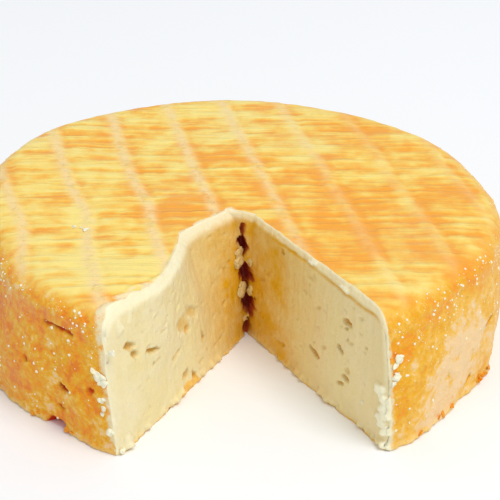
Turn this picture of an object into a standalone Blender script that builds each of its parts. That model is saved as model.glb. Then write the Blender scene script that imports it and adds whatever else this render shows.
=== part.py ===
"""A whole washed-rind cheese with one wedge cut out of it, resting on its flat base.

The wheel is turned from a profile, its rind is pushed out and in by a few
formulas (an uneven outline, mat bands, cross ridges, grainy flanks), and the
cut wedge and the eyes of the paste are taken out with Booleans.

All shaping happens about the wheel's own axis, with the cut facing -Y. At the
end the solid is moved so that the origin is the middle of its base.
Units are metres, +Z is up.
"""

import itertools
import math

import bmesh
import bpy
import numpy as np

# Wheel
BASE_RADIUS = 0.0900
TOP_RADIUS = 0.0880
HEIGHT = 0.0460
RIM_ROUND = 0.0060
BASE_ROUND = 0.0016
FLANK_BULGE = 0.0012
SHOULDER_WIDTH = 0.0140
SHOULDER_DROP = 0.0012
TURN_STEPS = 360
RING_SPACING = 0.0014
RIM_RINGS = 8
BASE_ROUND_RINGS = 4
BASE_RINGS = 8
BASE_RING_INSET = 0.010
MERGE_DISTANCE = 0.0001

# Dents and swells of the outline: direction in degrees, depth, spread in degrees
TOP_SWELLS = (
    (-42.0, -0.0034, 10.0),
    (-158.0, -0.0042, 11.0),
    (-112.0, -0.0016, 6.0),
    (17.0, -0.0012, 6.0),
    (36.0, 0.0014, 12.0),
    (148.0, 0.0032, 17.0),
)
BASE_SWELLS = (
    (-127.0, -0.0018, 4.0),
    (-34.0, -0.0013, 7.0),
    (-23.0, 0.0012, 2.5),
    (-146.0, 0.0012, 8.0),
    (-54.0, 0.0012, 6.0),
    (60.0, 0.0015, 14.0),
    (150.0, -0.0015, 10.0),
)

# Marks of the drying mat on the top: flat bands, and fine ridges across them
BAND_TURN = math.radians(14.0)
BAND_SPACING = 0.0219
BAND_OFFSET = 0.0108
BAND_WIDTH = 0.0042
BAND_HEIGHT = 0.0005
GROOVE_DEPTH = 0.0005
RIDGE_SPACING = 0.0052
RIDGE_HEIGHT = 0.00035
RIDGE_WANDER = 0.0022
RIDGE_BEND_ACROSS = 0.0105
RIDGE_BEND_ALONG = 0.031
RIDGE_BEND = 2.0
# Place and half width of the groove beside a band, in band widths
GROOVE_PLACE = 0.95
GROOVE_REACH = 0.4
# The marks fade out between these distances from the rim, in rim roundings
MARKS_END = (1.5, 0.4)

# Unevenness of the rind: depth, size of the waves, seed
TOP_WAVE = (0.0006, 0.034, 21)
FLANK_WAVE = (0.0007, 0.022, 11)
FLANK_GRAIN = (0.00035, 0.0065, 12)
BASE_LIP = (0.0008, 0.004, 13)
BASE_LIP_HEIGHT = 0.0030

# Cut wedge: its inner corner on the floor, and the two cuts' directions from -Y
APEX = (0.0039, -0.0163)
LEFT_CUT = math.radians(-28.7)
RIGHT_CUT = math.radians(34.55)
CUT_REACH = 0.105
CUT_STEP = 0.0020
CUT_WAVE = (0.00045, 0.013, 31)
KNIFE_THROW = 0.15
FLOOR_MARGIN = 0.006
# The left cut leans back at its top, least where it is NARROWEST along the cut
LEAN_LEAST = 0.0014
LEAN_NARROWEST = 0.051
# Its growth outwards and inwards: amount, over what distance, power, most of that distance
LEAN_OUTER = (0.0055, 0.024, 1.3, 1.2)
LEAN_INNER = (0.0080, 0.026, 1.6, 1.1)
APEX_LEAN = 0.0065
APEX_LEAN_REACH = 0.020
LEAN_RISE = 1.6
# The right cut's outer end curls forward over this stretch
RIGHT_CURL = 0.0022
RIGHT_CURL_STRETCH = (0.062, 0.078)

# Torn slit behind the inner corner: height, half height, reach back, half width
SLITS = (
    (0.0385, 0.0068, 0.0115, 0.0014),
    (0.0240, 0.0037, 0.0090, 0.0015),
    (0.0122, 0.0046, 0.0080, 0.0018),
)
SLIT_TURN = math.radians(12.0)

# Eyes: distance along the cut, height, half length, half height, depth, tilt in degrees
LEFT_EYES = (
    (0.0664, 0.0324, 0.0022, 0.0014, 0.0024, 32.0),
    (0.0646, 0.0291, 0.0018, 0.0010, 0.0020, 45.0),
    (0.0565, 0.0262, 0.0033, 0.0008, 0.0020, 17.0),
    (0.0385, 0.0250, 0.0046, 0.0032, 0.0014, 15.0),
    (0.0310, 0.0244, 0.0046, 0.0016, 0.0010, 18.0),
    (0.0364, 0.0216, 0.0016, 0.0013, 0.0019, 10.0),
    (0.0276, 0.0139, 0.0024, 0.0010, 0.0018, 75.0),
    (0.0430, 0.0170, 0.0036, 0.0011, 0.0010, -10.0),
    (0.0389, 0.0066, 0.0019, 0.0019, 0.0025, 20.0),
    (0.0340, 0.0034, 0.0023, 0.0010, 0.0018, 60.0),
)
RIGHT_EYES = (
    (0.0525, 0.0338, 0.0021, 0.0010, 0.0024, 5.0),
    (0.0521, 0.0313, 0.0010, 0.0006, 0.0012, 25.0),
    (0.0496, 0.0228, 0.0019, 0.0008, 0.0020, -26.0),
    (0.0379, 0.0145, 0.0033, 0.0009, 0.0022, -15.0),
    (0.0543, 0.0173, 0.0014, 0.0009, 0.0009, -10.0),
    (0.0539, 0.0142, 0.0017, 0.0008, 0.0020, 0.0),
    (0.0510, 0.0107, 0.0018, 0.0007, 0.0016, 20.0),
    (0.0187, 0.0415, 0.0013, 0.0005, 0.0014, -60.0),
)

# Creases and pits of the flank: direction in degrees, height, half length, half height, depth, tilt
FLANK_PITS = (
    (-126.7, 0.0378, 0.0036, 0.0009, 0.0022, -2.0),
    (-122.2, 0.0373, 0.0022, 0.0008, 0.0022, -8.0),
    (-123.5, 0.0171, 0.0023, 0.0014, 0.0026, -15.0),
    (-117.6, 0.0204, 0.0016, 0.0012, 0.0010, 0.0),
    (-133.9, 0.0215, 0.0013, 0.0006, 0.0012, -50.0),
    (-125.7, 0.0089, 0.0018, 0.0006, 0.0012, -20.0),
    (-127.0, 0.0000, 0.0046, 0.0036, 0.0036, -6.0),
    (-25.4, 0.0222, 0.0024, 0.0007, 0.0018, 32.0),
    (-33.0, 0.0060, 0.0026, 0.0009, 0.0014, 40.0),
    (48.0, 0.0240, 0.0050, 0.0009, 0.0020, 12.0),
    (118.0, 0.0300, 0.0055, 0.0009, 0.0020, -15.0),
    (171.0, 0.0140, 0.0035, 0.0013, 0.0020, 20.0),
)
# Lumps of eyes, slits and pits: depth as a share of the radius, size, and the seeds' starts
LUMPS = 0.25
LUMP_SIZE = 1.1
LUMP_ROUNDS = 3
EYE_SEED = 40
SLIT_SEED = 60
PIT_SEED = 80

BASE_SNAP = 0.00008
FACES_KEPT = 9600
SMOOTH_ANGLE = math.radians(40.0)
RIND_COLOUR = (0.90, 0.50, 0.13, 1.0)
RIND_ROUGHNESS = 0.45
LATTICE = 32
LEAST_RADIUS = 1e-6


def clear_scene():
    """Remove every object that the scene starts with."""
    for thing in list(bpy.data.objects):
        bpy.data.objects.remove(thing, do_unlink=True)


def add_collection(name, shown=True):
    """A new collection under the scene's own."""
    collection = bpy.data.collections.new(name)
    collection.hide_render = not shown
    bpy.context.scene.collection.children.link(collection)
    return collection


def add_object(name, mesh, collection):
    """A new object for this mesh."""
    made = bpy.data.objects.new(name, mesh)
    collection.objects.link(made)
    return made


def add_material(name, colour, roughness):
    """A plain material with one colour."""
    material = bpy.data.materials.new(name)
    material.use_nodes = True
    shader = material.node_tree.nodes["Principled BSDF"]
    shader.inputs["Base Color"].default_value = colour
    shader.inputs["Roughness"].default_value = roughness
    shader.inputs["Metallic"].default_value = 0.0
    return material


def ease(value, low, high):
    """0 below low, 1 above high, and 3t^2 - 2t^3 between."""
    t = np.clip((value - low) / (high - low), 0.0, 1.0)
    return t * t * (3.0 - 2.0 * t)


def wander(points, size, seed):
    """Smooth noise: random values from -1 to 1 on a lattice of cells this size, eased between them."""
    lattice = np.random.default_rng(seed).uniform(-1.0, 1.0, (LATTICE, LATTICE, LATTICE))
    cells = points / size + LATTICE * 4
    low = np.floor(cells).astype(int)
    part = ease(cells - low, 0.0, 1.0)
    total = np.zeros(len(points))
    for corner in itertools.product((0, 1), repeat=3):
        share = np.where(np.array(corner) == 1, part, 1.0 - part).prod(axis=1)
        i, j, k = ((low + corner) % LATTICE).T
        total += share * lattice[i, j, k]
    return total


def waves(points, wave):
    """Smooth noise of this depth, size and seed."""
    depth, size, seed = wave
    return depth * wander(points, size, seed)


def swell(angle, bumps):
    """Sum of bell curves round the circle, for an uneven outline."""
    total = np.zeros(len(angle))
    for place, depth, spread in bumps:
        away = (angle - math.radians(place) + math.pi) % (2.0 * math.pi) - math.pi
        total += depth * np.exp(-0.5 * (away / math.radians(spread)) ** 2)
    return total


def mat_marks(x, y):
    """Height of the drying mat's marks: bands along one direction, fine ridges across them."""
    across = x * math.cos(BAND_TURN) + y * math.sin(BAND_TURN)
    along = y * math.cos(BAND_TURN) - x * math.sin(BAND_TURN)
    place = (across - BAND_OFFSET + BAND_SPACING / 2.0) % BAND_SPACING - BAND_SPACING / 2.0
    band = np.exp(-((place / (BAND_WIDTH / 2.0)) ** 4))
    groove = np.exp(-(((place / BAND_WIDTH - GROOVE_PLACE) / GROOVE_REACH) ** 2))
    bend = RIDGE_WANDER * np.sin(across / RIDGE_BEND_ACROSS + RIDGE_BEND * np.sin(along / RIDGE_BEND_ALONG))
    ridge = np.cos(2.0 * math.pi * (along + bend) / RIDGE_SPACING)
    return BAND_HEIGHT * band - GROOVE_DEPTH * groove + RIDGE_HEIGHT * ridge * (1.0 - band)


def wheel_profile():
    """Half outline (radius, height): top centre, rim, flank, base edge, base centre."""
    flat = TOP_RADIUS - RIM_ROUND
    points = [(r, HEIGHT) for r in np.arange(0.0, flat, RING_SPACING)]
    for angle in np.linspace(math.pi / 2.0, 0.0, RIM_RINGS):
        points.append((flat + RIM_ROUND * math.cos(angle), HEIGHT - RIM_ROUND + RIM_ROUND * math.sin(angle)))
    rise = HEIGHT - RIM_ROUND - BASE_ROUND
    for share in np.arange(RING_SPACING, rise, RING_SPACING) / rise:
        radius = TOP_RADIUS + (BASE_RADIUS - TOP_RADIUS) * share + FLANK_BULGE * math.sin(math.pi * share)
        points.append((radius, BASE_ROUND + rise * (1.0 - share)))
    foot = BASE_RADIUS - BASE_ROUND
    for angle in np.linspace(0.0, -math.pi / 2.0, BASE_ROUND_RINGS):
        points.append((foot + BASE_ROUND * math.cos(angle), BASE_ROUND + BASE_ROUND * math.sin(angle)))
    points += [(r, 0.0) for r in np.linspace(BASE_RADIUS - BASE_RING_INSET, 0.0, BASE_RINGS)]
    return points


def turned_wheel(collection):
    """The wheel's profile turned about its axis with a Screw modifier."""
    profile = bmesh.new()
    chain = [profile.verts.new((radius, 0.0, height)) for radius, height in wheel_profile()]
    for first, second in itertools.pairwise(chain):
        profile.edges.new((first, second))
    mesh = bpy.data.meshes.new("wheel_profile")
    profile.to_mesh(mesh)
    profile.free()
    wheel = add_object("cheese_wheel", mesh, collection)
    screw = wheel.modifiers.new("turn", "SCREW")
    screw.steps = TURN_STEPS
    screw.render_steps = TURN_STEPS
    screw.use_merge_vertices = True
    screw.merge_threshold = MERGE_DISTANCE
    return wheel


def apply_modifiers(thing):
    """Replace the object's mesh by its evaluated one and drop its modifiers."""
    graph = bpy.context.evaluated_depsgraph_get()
    mesh = bpy.data.meshes.new_from_object(thing.evaluated_get(graph))
    thing.modifiers.clear()
    thing.data = mesh


def read_points(mesh):
    """The mesh's vertices as an array of (x, y, z) rows."""
    points = np.empty(len(mesh.vertices) * 3)
    mesh.vertices.foreach_get("co", points)
    return points.reshape(-1, 3)


def write_points(mesh, points):
    """Move the mesh's vertices to these rows."""
    mesh.vertices.foreach_set("co", points.ravel())
    mesh.update()


def shape_rind(mesh):
    """Push the turned rind into its uneven form.

    The radius is scaled by the outline's swells, blended from base to top.
    The flank moves outwards by waves and grain, and the top moves up and down
    by waves, the shoulder and the mat's marks. The base stays flat.
    """
    points = read_points(mesh)
    x, y, z = points.T
    angle = np.arctan2(y, x)
    radius = np.hypot(x, y)
    share = z / HEIGHT
    swells = swell(angle, BASE_SWELLS) * (1.0 - share) + swell(angle, TOP_SWELLS) * share
    outwards = swells * radius / BASE_RADIUS
    flank = ease(radius, TOP_RADIUS - RIM_ROUND, TOP_RADIUS)
    outwards += flank * (waves(points, FLANK_WAVE) + waves(points, FLANK_GRAIN))
    lip = flank * (1.0 - ease(z, 0.0, BASE_LIP_HEIGHT))
    outwards += lip * (BASE_LIP[0] + waves(points, BASE_LIP))
    top = ease(z, HEIGHT - RIM_ROUND, HEIGHT)
    start, end = (TOP_RADIUS - RIM_ROUND * away for away in MARKS_END)
    inner = 1.0 - ease(radius, start, end)
    level = np.column_stack((x, y, np.zeros_like(x)))
    upwards = waves(level, TOP_WAVE)
    upwards -= SHOULDER_DROP * ease(radius, TOP_RADIUS - SHOULDER_WIDTH, TOP_RADIUS) ** 2
    upwards += inner * mat_marks(x, y)
    scale = 1.0 + outwards / np.maximum(radius, LEAST_RADIUS)
    write_points(mesh, np.column_stack((x * scale, y * scale, z + top * upwards)))


def cut_lean(along, side):
    """How far the top of a cut stands back from its foot, at this distance from the inner corner."""
    if side > 0:
        return -RIGHT_CURL * ease(along, *RIGHT_CURL_STRETCH)
    lean = LEAN_LEAST
    for away, growth in ((along - LEAN_NARROWEST, LEAN_OUTER), (LEAN_NARROWEST - along, LEAN_INNER)):
        amount, distance, power, most = growth
        lean = lean + amount * np.clip(away / distance, 0.0, most) ** power
    near = 1.0 - ease(along, 0.0, APEX_LEAN_REACH)
    return lean * (1.0 - near) + APEX_LEAN * near


def cut_frame(side):
    """Unit vectors along a cut, away from the inner corner, and back into the cheese behind it."""
    turn = RIGHT_CUT if side > 0 else LEFT_CUT
    along = np.array((math.sin(turn), -math.cos(turn), 0.0))
    back = np.array((math.cos(turn), math.sin(turn), 0.0)) * side
    return along, back


def cut_points(along, height, side):
    """Points of a cut: its foot line plus a lean that grows with height, plus waves of the knife."""
    direction, back = cut_frame(side)
    share = np.clip(height / HEIGHT, 0.0, 1.0)
    offset = cut_lean(along, side) * share**LEAN_RISE
    points = np.array((*APEX, 0.0)) + along[:, None] * direction + offset[:, None] * back
    points[:, 2] += height
    return points + waves(points, CUT_WAVE)[:, None] * back


def knife(collection):
    """The cut wedge as a solid: a sheet bent along both cuts, thrown out past the rim."""
    steps = int(CUT_REACH / CUT_STEP)
    rows = int((HEIGHT + 2.0 * FLOOR_MARGIN) / CUT_STEP)
    sheet = bmesh.new()
    bmesh.ops.create_grid(sheet, x_segments=2 * steps + 1, y_segments=rows, size=0.5)
    grid = np.array([vertex.co for vertex in sheet.verts])
    column = (grid[:, 0] + 0.5) * (2 * steps + 1)
    height = (grid[:, 1] + 0.5) * (HEIGHT + 2.0 * FLOOR_MARGIN) - FLOOR_MARGIN
    left = cut_points(np.maximum(steps - column, 0.0) * CUT_STEP, height, -1)
    right = cut_points(np.maximum(column - steps - 1, 0.0) * CUT_STEP, height, 1)
    placed = np.where((column < steps + 0.5)[:, None], left, right)
    for vertex, place in zip(sheet.verts, placed):
        vertex.co = place
    thrown = bmesh.ops.extrude_face_region(sheet, geom=sheet.faces[:], use_keep_orig=True)
    far = [item for item in thrown["geom"] if isinstance(item, bmesh.types.BMVert)]
    bmesh.ops.translate(sheet, verts=far, vec=(0.0, -KNIFE_THROW, 0.0))
    sheet.normal_update()
    bmesh.ops.recalc_face_normals(sheet, faces=sheet.faces)
    mesh = bpy.data.meshes.new("cut_wedge")
    sheet.to_mesh(mesh)
    sheet.free()
    return add_cutter("cut_wedge", mesh, collection)


def add_cutter(name, mesh, collection):
    """An object that only cuts."""
    cutter = add_object(name, mesh, collection)
    cutter.hide_render = True
    cutter.display_type = "WIRE"
    return cutter


def hollow(name, centre, axes, radii, seed, collection):
    """A lumpy ellipsoid cutter, with these axes as rows and radii along them."""
    form = bmesh.new()
    bmesh.ops.create_icosphere(form, subdivisions=LUMP_ROUNDS, radius=1.0)
    ball = np.array([vertex.co for vertex in form.verts])
    ball *= (1.0 + LUMPS * wander(ball, LUMP_SIZE, seed))[:, None]
    placed = (ball * radii) @ np.array(axes) + centre
    for vertex, place in zip(form.verts, placed):
        vertex.co = place
    form.normal_update()
    bmesh.ops.recalc_face_normals(form, faces=form.faces)
    mesh = bpy.data.meshes.new(name)
    form.to_mesh(mesh)
    form.free()
    return add_cutter(name, mesh, collection)


def tilted(first, second, degrees):
    """Turn two unit vectors in their own plane."""
    turn = math.radians(degrees)
    return (
        first * math.cos(turn) + second * math.sin(turn),
        second * math.cos(turn) - first * math.sin(turn),
    )


def eye_hollows(collection):
    """The eyes of the paste along both cuts."""
    up = np.array((0.0, 0.0, 1.0))
    for side, eyes in ((-1, LEFT_EYES), (1, RIGHT_EYES)):
        direction, back = cut_frame(side)
        for number, (along, height, length, tall, depth, tilt) in enumerate(eyes):
            centre = cut_points(np.array([along]), np.array([height]), side)[0]
            first, second = tilted(direction, up, tilt)
            name = f"eye_{'left' if side < 0 else 'right'}_{number}"
            hollow(name, centre, (first, second, back), (length, tall, depth), EYE_SEED + number, collection)


def slit_hollows(collection):
    """The torn slit that runs on behind the inner corner."""
    back = np.array((-math.sin(SLIT_TURN), math.cos(SLIT_TURN), 0.0))
    across = np.array((math.cos(SLIT_TURN), math.sin(SLIT_TURN), 0.0))
    up = np.array((0.0, 0.0, 1.0))
    for number, (height, tall, reach, half_width) in enumerate(SLITS):
        foot = cut_points(np.array([0.0]), np.array([height]), -1)[0]
        corner = cut_points(np.array([0.0]), np.array([height]), 1)[0]
        centre = (foot + corner) / 2.0
        radii = (reach, half_width, tall)
        hollow(f"slit_{number}", centre, (back, across, up), radii, SLIT_SEED + number, collection)


def flank_pits(collection):
    """Creases and pits of the rind round the flank."""
    up = np.array((0.0, 0.0, 1.0))
    for number, (place, height, length, tall, depth, tilt) in enumerate(FLANK_PITS):
        turn = math.radians(place)
        outward = np.array((math.cos(turn), math.sin(turn), 0.0))
        sideways = np.array((-math.sin(turn), math.cos(turn), 0.0))
        share = height / HEIGHT
        radius = BASE_RADIUS + (TOP_RADIUS - BASE_RADIUS) * share + FLANK_BULGE * math.sin(math.pi * share)
        swells = [swell(np.array([turn]), bumps)[0] for bumps in (BASE_SWELLS, TOP_SWELLS)]
        radius += swells[0] * (1.0 - share) + swells[1] * share
        centre = outward * radius + up * height
        first, second = tilted(sideways, up, tilt)
        radii = (length, tall, depth)
        hollow(f"pit_{number}", centre, (first, second, outward), radii, PIT_SEED + number, collection)


def cut_with(thing, collection):
    """Take every object of this collection out of the thing."""
    boolean = thing.modifiers.new("cut", "BOOLEAN")
    boolean.operation = "DIFFERENCE"
    boolean.operand_type = "COLLECTION"
    boolean.collection = collection
    boolean.solver = "EXACT"
    apply_modifiers(thing)


def thin_faces(thing):
    """Keep the faces where the form needs them."""
    mesh = thing.data
    mesh.calc_loop_triangles()
    decimate = thing.modifiers.new("thin", "DECIMATE")
    decimate.use_collapse_triangulate = True
    decimate.ratio = FACES_KEPT / len(mesh.loop_triangles)
    apply_modifiers(thing)


def centre_on_base(mesh):
    """Flatten the base exactly, and move the origin to the middle of the bounding box's floor."""
    points = read_points(mesh)
    points[points[:, 2] < BASE_SNAP, 2] = 0.0
    centre = (points.min(axis=0) + points.max(axis=0)) / 2.0
    write_points(mesh, points - (centre[0], centre[1], 0.0))


def main():
    clear_scene()
    parts = add_collection("munster_cheese")
    cutters = add_collection("cutters", shown=False)
    wheel = turned_wheel(parts)
    apply_modifiers(wheel)
    shape_rind(wheel.data)
    knife(cutters)
    eye_hollows(cutters)
    slit_hollows(cutters)
    flank_pits(cutters)
    cut_with(wheel, cutters)
    thin_faces(wheel)
    centre_on_base(wheel.data)
    wheel.data.shade_smooth()
    wheel.data.set_sharp_from_angle(angle=SMOOTH_ANGLE)
    wheel.data.materials.append(add_material("rind", RIND_COLOUR, RIND_ROUGHNESS))


main()
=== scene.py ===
"""Looks of a round washed-rind cheese with one wedge cut out.

The cheese is one closed surface: the rind as a grid that fans out from the inner
corner of the cut, and the two cuts as a second grid, joined along their edges.
Crumbs, specks and flakes lie on it. Everything is worked out about the wheel's own
axis with the cut facing -Y, then moved to the frame. Units are metres, +Z is up.
The tables of places and sizes are written in millimetres.
"""

import itertools
from math import cos, pi, radians, sin

import bpy
import numpy as np
from bpy.props import FloatProperty, FloatVectorProperty, PointerProperty
from mathutils import Matrix, Vector


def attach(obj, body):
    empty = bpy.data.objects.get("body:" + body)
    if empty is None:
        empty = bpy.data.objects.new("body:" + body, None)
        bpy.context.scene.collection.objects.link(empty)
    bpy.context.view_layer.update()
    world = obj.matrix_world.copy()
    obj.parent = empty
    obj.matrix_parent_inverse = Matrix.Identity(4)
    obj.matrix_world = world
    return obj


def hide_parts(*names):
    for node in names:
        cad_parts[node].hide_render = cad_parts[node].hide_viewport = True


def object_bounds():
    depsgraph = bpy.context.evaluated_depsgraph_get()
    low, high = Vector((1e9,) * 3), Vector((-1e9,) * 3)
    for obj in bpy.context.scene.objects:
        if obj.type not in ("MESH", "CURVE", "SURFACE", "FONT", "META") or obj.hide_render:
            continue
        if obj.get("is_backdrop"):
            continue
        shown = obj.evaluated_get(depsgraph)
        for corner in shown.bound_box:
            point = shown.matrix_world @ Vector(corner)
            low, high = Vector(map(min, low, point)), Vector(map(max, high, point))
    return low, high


bl_info = {
    "name": "Cut washed-rind cheese",
    "version": (1, 0, 0),
    "blender": (4, 5, 0),
    "location": "3D View > Sidebar > Cheese",
    "description": "A round washed-rind cheese with a wedge cut out, its crumbs and a pale stage",
    "category": "Add Mesh",
}

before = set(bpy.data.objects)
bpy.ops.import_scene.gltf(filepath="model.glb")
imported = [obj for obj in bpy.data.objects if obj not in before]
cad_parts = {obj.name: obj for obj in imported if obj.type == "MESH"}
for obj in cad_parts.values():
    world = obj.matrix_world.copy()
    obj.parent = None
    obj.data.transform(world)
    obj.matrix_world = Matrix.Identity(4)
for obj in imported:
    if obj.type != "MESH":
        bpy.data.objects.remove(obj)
CAD_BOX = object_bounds()
NODE = "cheese_wheel"
BODY = "root"


def metres(rows, *kept):
    """A table in metres from rows in millimetres. The columns that are numbered after them stay as they are."""
    scale = np.full(len(rows[0]), 0.001)
    scale[list(kept)] = 1
    return np.array(rows) * scale


# Where the wheel's axis stands in the frame
AXIS_PLACE = (0.00006, -0.00323, 0)

# Dents and swells of the outline: direction in degrees, depth, spread in degrees
TOP_SWELLS = metres((
    (-42, -3.4, 10),
    (-158, -4.2, 11),
    (-112, -1.6, 6),
    (17, -1.2, 6),
    (36, 1.4, 12),
    (148, 3.2, 17),
), 0, 2)
BASE_SWELLS = metres((
    (-127, -1.8, 4),
    (-34, -1.3, 7),
    (-23, 1.2, 2.5),
    (-146, 1.2, 8),
    (-54, 1.2, 6),
    (60, 1.5, 14),
    (150, -1.5, 10),
), 0, 2)

# Marks of the drying mat on the top: flat bands, and fine ridges across them
BAND_TURN = radians(14)
BAND_SPACING = 0.0219
BAND_OFFSET = 0.0108
BAND_WIDTH = 0.0042
BAND_POWER = 2.2
# Distance of the groove from the band's middle, and its half width, as shares of the band's width
GROOVE_SHARES = (0.80, 0.32)
# The marks are strong left of the first place and faint right of the second
MARKS_FADE = (-0.010, 0.045)
BAND_HEIGHT = 0.00030
GROOVE_DEPTH = 0.00030
RIDGE_TURN = radians(3)
RIDGE_SPACING = 0.0047
RIDGE_HEIGHT = 0.00017
RIDGE_WANDER = 0.0013
RIDGE_STRETCH = 8
# Mean and swing of their strength, the share of finer breaks in them, and how much of them a band covers
RIDGE_STRENGTH = (0.5, 0.9)
RIDGE_BREAKS = 0.6
RIDGE_COVER = 0.7

# Unevenness of the rind: depth and size of the waves
TOP_WAVE = (0.0006, 0.034)
FLANK_WAVE = (0.0007, 0.022)
FLANK_GRAIN = (0.00035, 0.0065)
FLANK_CRUST = (0.00022, 0.0021)
TOP_WRINKLE = (0.00014, 0.0034)
BASE_LIP = (0.0008, 0.0040)
BASE_FRAY = (0.0004, 0.0024)
BASE_LIP_HEIGHT = 0.0030
# The mat's marks fade out between these numbers of rim roundings inside the rim, and to this share beside a cut
MARKS_END = (1.5, 0.4)
CALM_REACH = 0.0060
CALM_LEAST = 0.15

# Lean of the left cut's top edge: least, at this distance along it, and beyond it on either side: rise, the
# distance where it is reached, the power that it follows, and the most of that distance that counts
LEAN_LEAST = (0.0014, 0.051)
LEAN_OUTER = (0.0055, 0.024, 1.3, 1.2)
LEAN_INNER = (0.0080, 0.026, 1.6, 1.1)
# Lean at the inner corner, and the distance where it ends
APEX_LEAN = (0.0065, 0.020)
# How the lean grows with height
LEAN_CURVE = 1.6
# Outward curl of the right cut's top: depth, where it starts and where it is full
RIGHT_CURL = (0.0022, 0.062, 0.078)
CUT_WAVE = (0.00045, 0.013)
SMEAR_WAVE = (0.00016, 0.0046)
SMEAR_CALM = 0.002
# Marks of the knife's drag: share of the smear's waves, size, and how much longer they are upwards
DRAG_WAVE = (0.6, 0.0022, 5)
CUT_START = 0.0008
# Roll of the left and right cut's top edge, and how far down it reaches
EDGE_ROLL = {-1: 0.0012, 1: 0.0003}
EDGE_ROLL_REACH = 0.0036
# Scalloped lip over the foot of the cuts: how far it sticks out, its height, its half height
FOOT_LIP = (0.0008, 0.0017, 0.0010)
FOOT_LIP_START = 0.012
# Its scallops: mean and swing as shares of the lip, and size
FOOT_SCALLOPS = (0.8, 1.3, 0.0022)
# Ragged edge on the floor: depth, how high it reaches, and size
FOOT_FRAY = (0.00035, 0.0014, 0.0017)
# Rind that shows at the foot: its height, how much that varies and over what size, and its soft edge
FOOT_RIND = (0.0006, 0.0004, 0.0017)
FOOT_RIND_EDGE = (-0.0002, 0.0004)
# A higher patch of it on the left: place, reach, height; its raggedness: share and size
FOOT_PATCH = (0.0385, 0.0062, 0.0026)
FOOT_PATCH_RAGGED = (0.5, 0.0030)
# Amber of each cut, painted shade and warm bounce of the inner corner: its share all over, larger on the right cut as
# painted shade of that side, and where it fades out from the inner corner
AMBER_SHADE_BASE = {-1: 0.03, 1: 0.15}
AMBER_SHADE_REACH = {-1: (0.004, 0.040), 1: (0.006, 0.054)}
# Amber inside the eyes, painted shade of the hollows: its share, and the depths where it starts and is full
EYE_SHADE_AMBER = (0.85, 0.0002, 0.0014)
# Folds of paste over the top beside the left cut: start and end as distance along and behind it, half width, rise
FOLDS = metres((
    (60, 0.4, 67.2, 4.6, 1, 0.6),
    (66, 1, 74.5, 1.8, 1.2, 0.5),
    (48, 1.2, 59, 3.4, 0.9, 0.35),
    (33, 1, 50, 1, 1, 0.25),
))
FOLD_GROOVE = (0.55, 1.9)
FOLD_PALE = 1100
# Width of the paste smeared over the rind beside a cut, on the top and on the flank
SMEAR_WIDTH = {-1: (0.0026, 0.0036), 1: (0.0015, 0.0027)}
# How much wider it is by the left outer corner, and the distances along the cut where that starts and is full
SMEAR_CORNER = (0.0030, 0.058, 0.066)
# The right cut's crack under the rind: depth, half height, distance under the edge
CRACK = (0.00035, 0.00050, 0.0020)
# The distances along the cut between which it fades in, and out
CRACK_START = (0.010, 0.020)
CRACK_END = (0.064, 0.072)
# Its bends as a share of its distance under the edge, their size, and its share of amber, painted shade in the crack
CRACK_BENDS = (0.35, 0.010)
CRACK_SHADE_AMBER = 0.8

# Torn slit behind the inner corner: height, half height, reach back, half width
SLITS = metres((
    (40, 3, 2.8, 0.8),
    (35, 3.4, 5, 1.5),
    (23.7, 4, 4.6, 2.1),
    (19, 2.4, 3, 0.9),
    (12.6, 5, 4.8, 2.2),
    (3, 4, 3, 1.4),
))
# Its bends and its raggedness: how strong and how large
SLIT_WANDER = (0.0006, 0.0045)
SLIT_RAGGED = (0.34, 0.0020)
SLIT_TURN = radians(12)

# Eyes: distance along the cut, height, half length, half height, depth, tilt in degrees
LEFT_EYES = metres((
    (66.4, 32.4, 2.2, 1.4, 2.4, 32),
    (64.6, 29.1, 1.8, 1, 2, 45),
    (56.5, 26.2, 3.3, 0.8, 2, 17),
    (39.2, 25.2, 5, 3.2, 1, 25),
    (33, 26.2, 5, 2, 0.9, 30),
    (36.4, 21.6, 1.6, 1.3, 1.9, 10),
    (27.6, 13.9, 2.4, 1, 1.8, 75),
    (43, 17, 3.6, 1.1, 1, -10),
    (38.9, 6.6, 1.9, 1.9, 2.5, 20),
    (34, 3.4, 2.3, 1, 1.8, 60),
    (57, 21.6, 0.8, 0.4, 1.2, 70),
), -1)
RIGHT_EYES = metres((
    (52.5, 33.8, 2.1, 1, 2.4, 5),
    (52.1, 31.3, 1, 0.6, 1.2, 25),
    (49.6, 22.8, 1.9, 0.8, 2, -26),
    (53, 27.8, 0.7, 0.4, 1, 80),
    (37.9, 14.5, 3.3, 0.9, 2.2, -15),
    (37.2, 17.9, 0.7, 0.4, 0.8, 10),
    (54.3, 17.3, 1.4, 0.9, 0.9, -10),
    (53.9, 14.2, 1.7, 0.8, 2, 0),
    (51, 10.7, 1.8, 0.7, 1.6, 20),
    (18.7, 41.5, 1.3, 0.5, 1.4, -60),
), -1)
# Raggedness of eyes and flakes: its share and size
EYE_RAGGED = (0.30, 0.0016)

# Flakes of paste that lie on a cut, as the eyes are given, with their thickness in place of the depth
LEFT_FLAKES = metres((
    (68.8, 39.8, 1.2, 3.6, 0.7, 8),
    (64, 42.4, 1, 3, 0.4, 26),
    (72.2, 3.4, 2, 2.6, 0.8, 10),
), -1)
RIGHT_FLAKES = metres((
    (70.6, 20.8, 2.1, 1.9, 1.3, 0),
    (72.2, 18.2, 3, 1.5, 1.4, -20),
    (72.2, 13.6, 2.5, 3.6, 1.3, 5),
    (71.4, 9.6, 1.9, 2.8, 1.2, 15),
    (73, 6.8, 1.6, 2.4, 1.1, -12),
    (74.6, 1.8, 2.2, 1.8, 0.7, 0),
    (62.6, 10.8, 0.7, 0.6, 0.6, 0),
    (50, 44.2, 3, 0.7, 0.4, -3),
    (34, 45, 2.2, 0.6, 0.4, 4),
), -1)
FLAKE_WHITE = {-1: 0.40, 1: 1}
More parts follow.
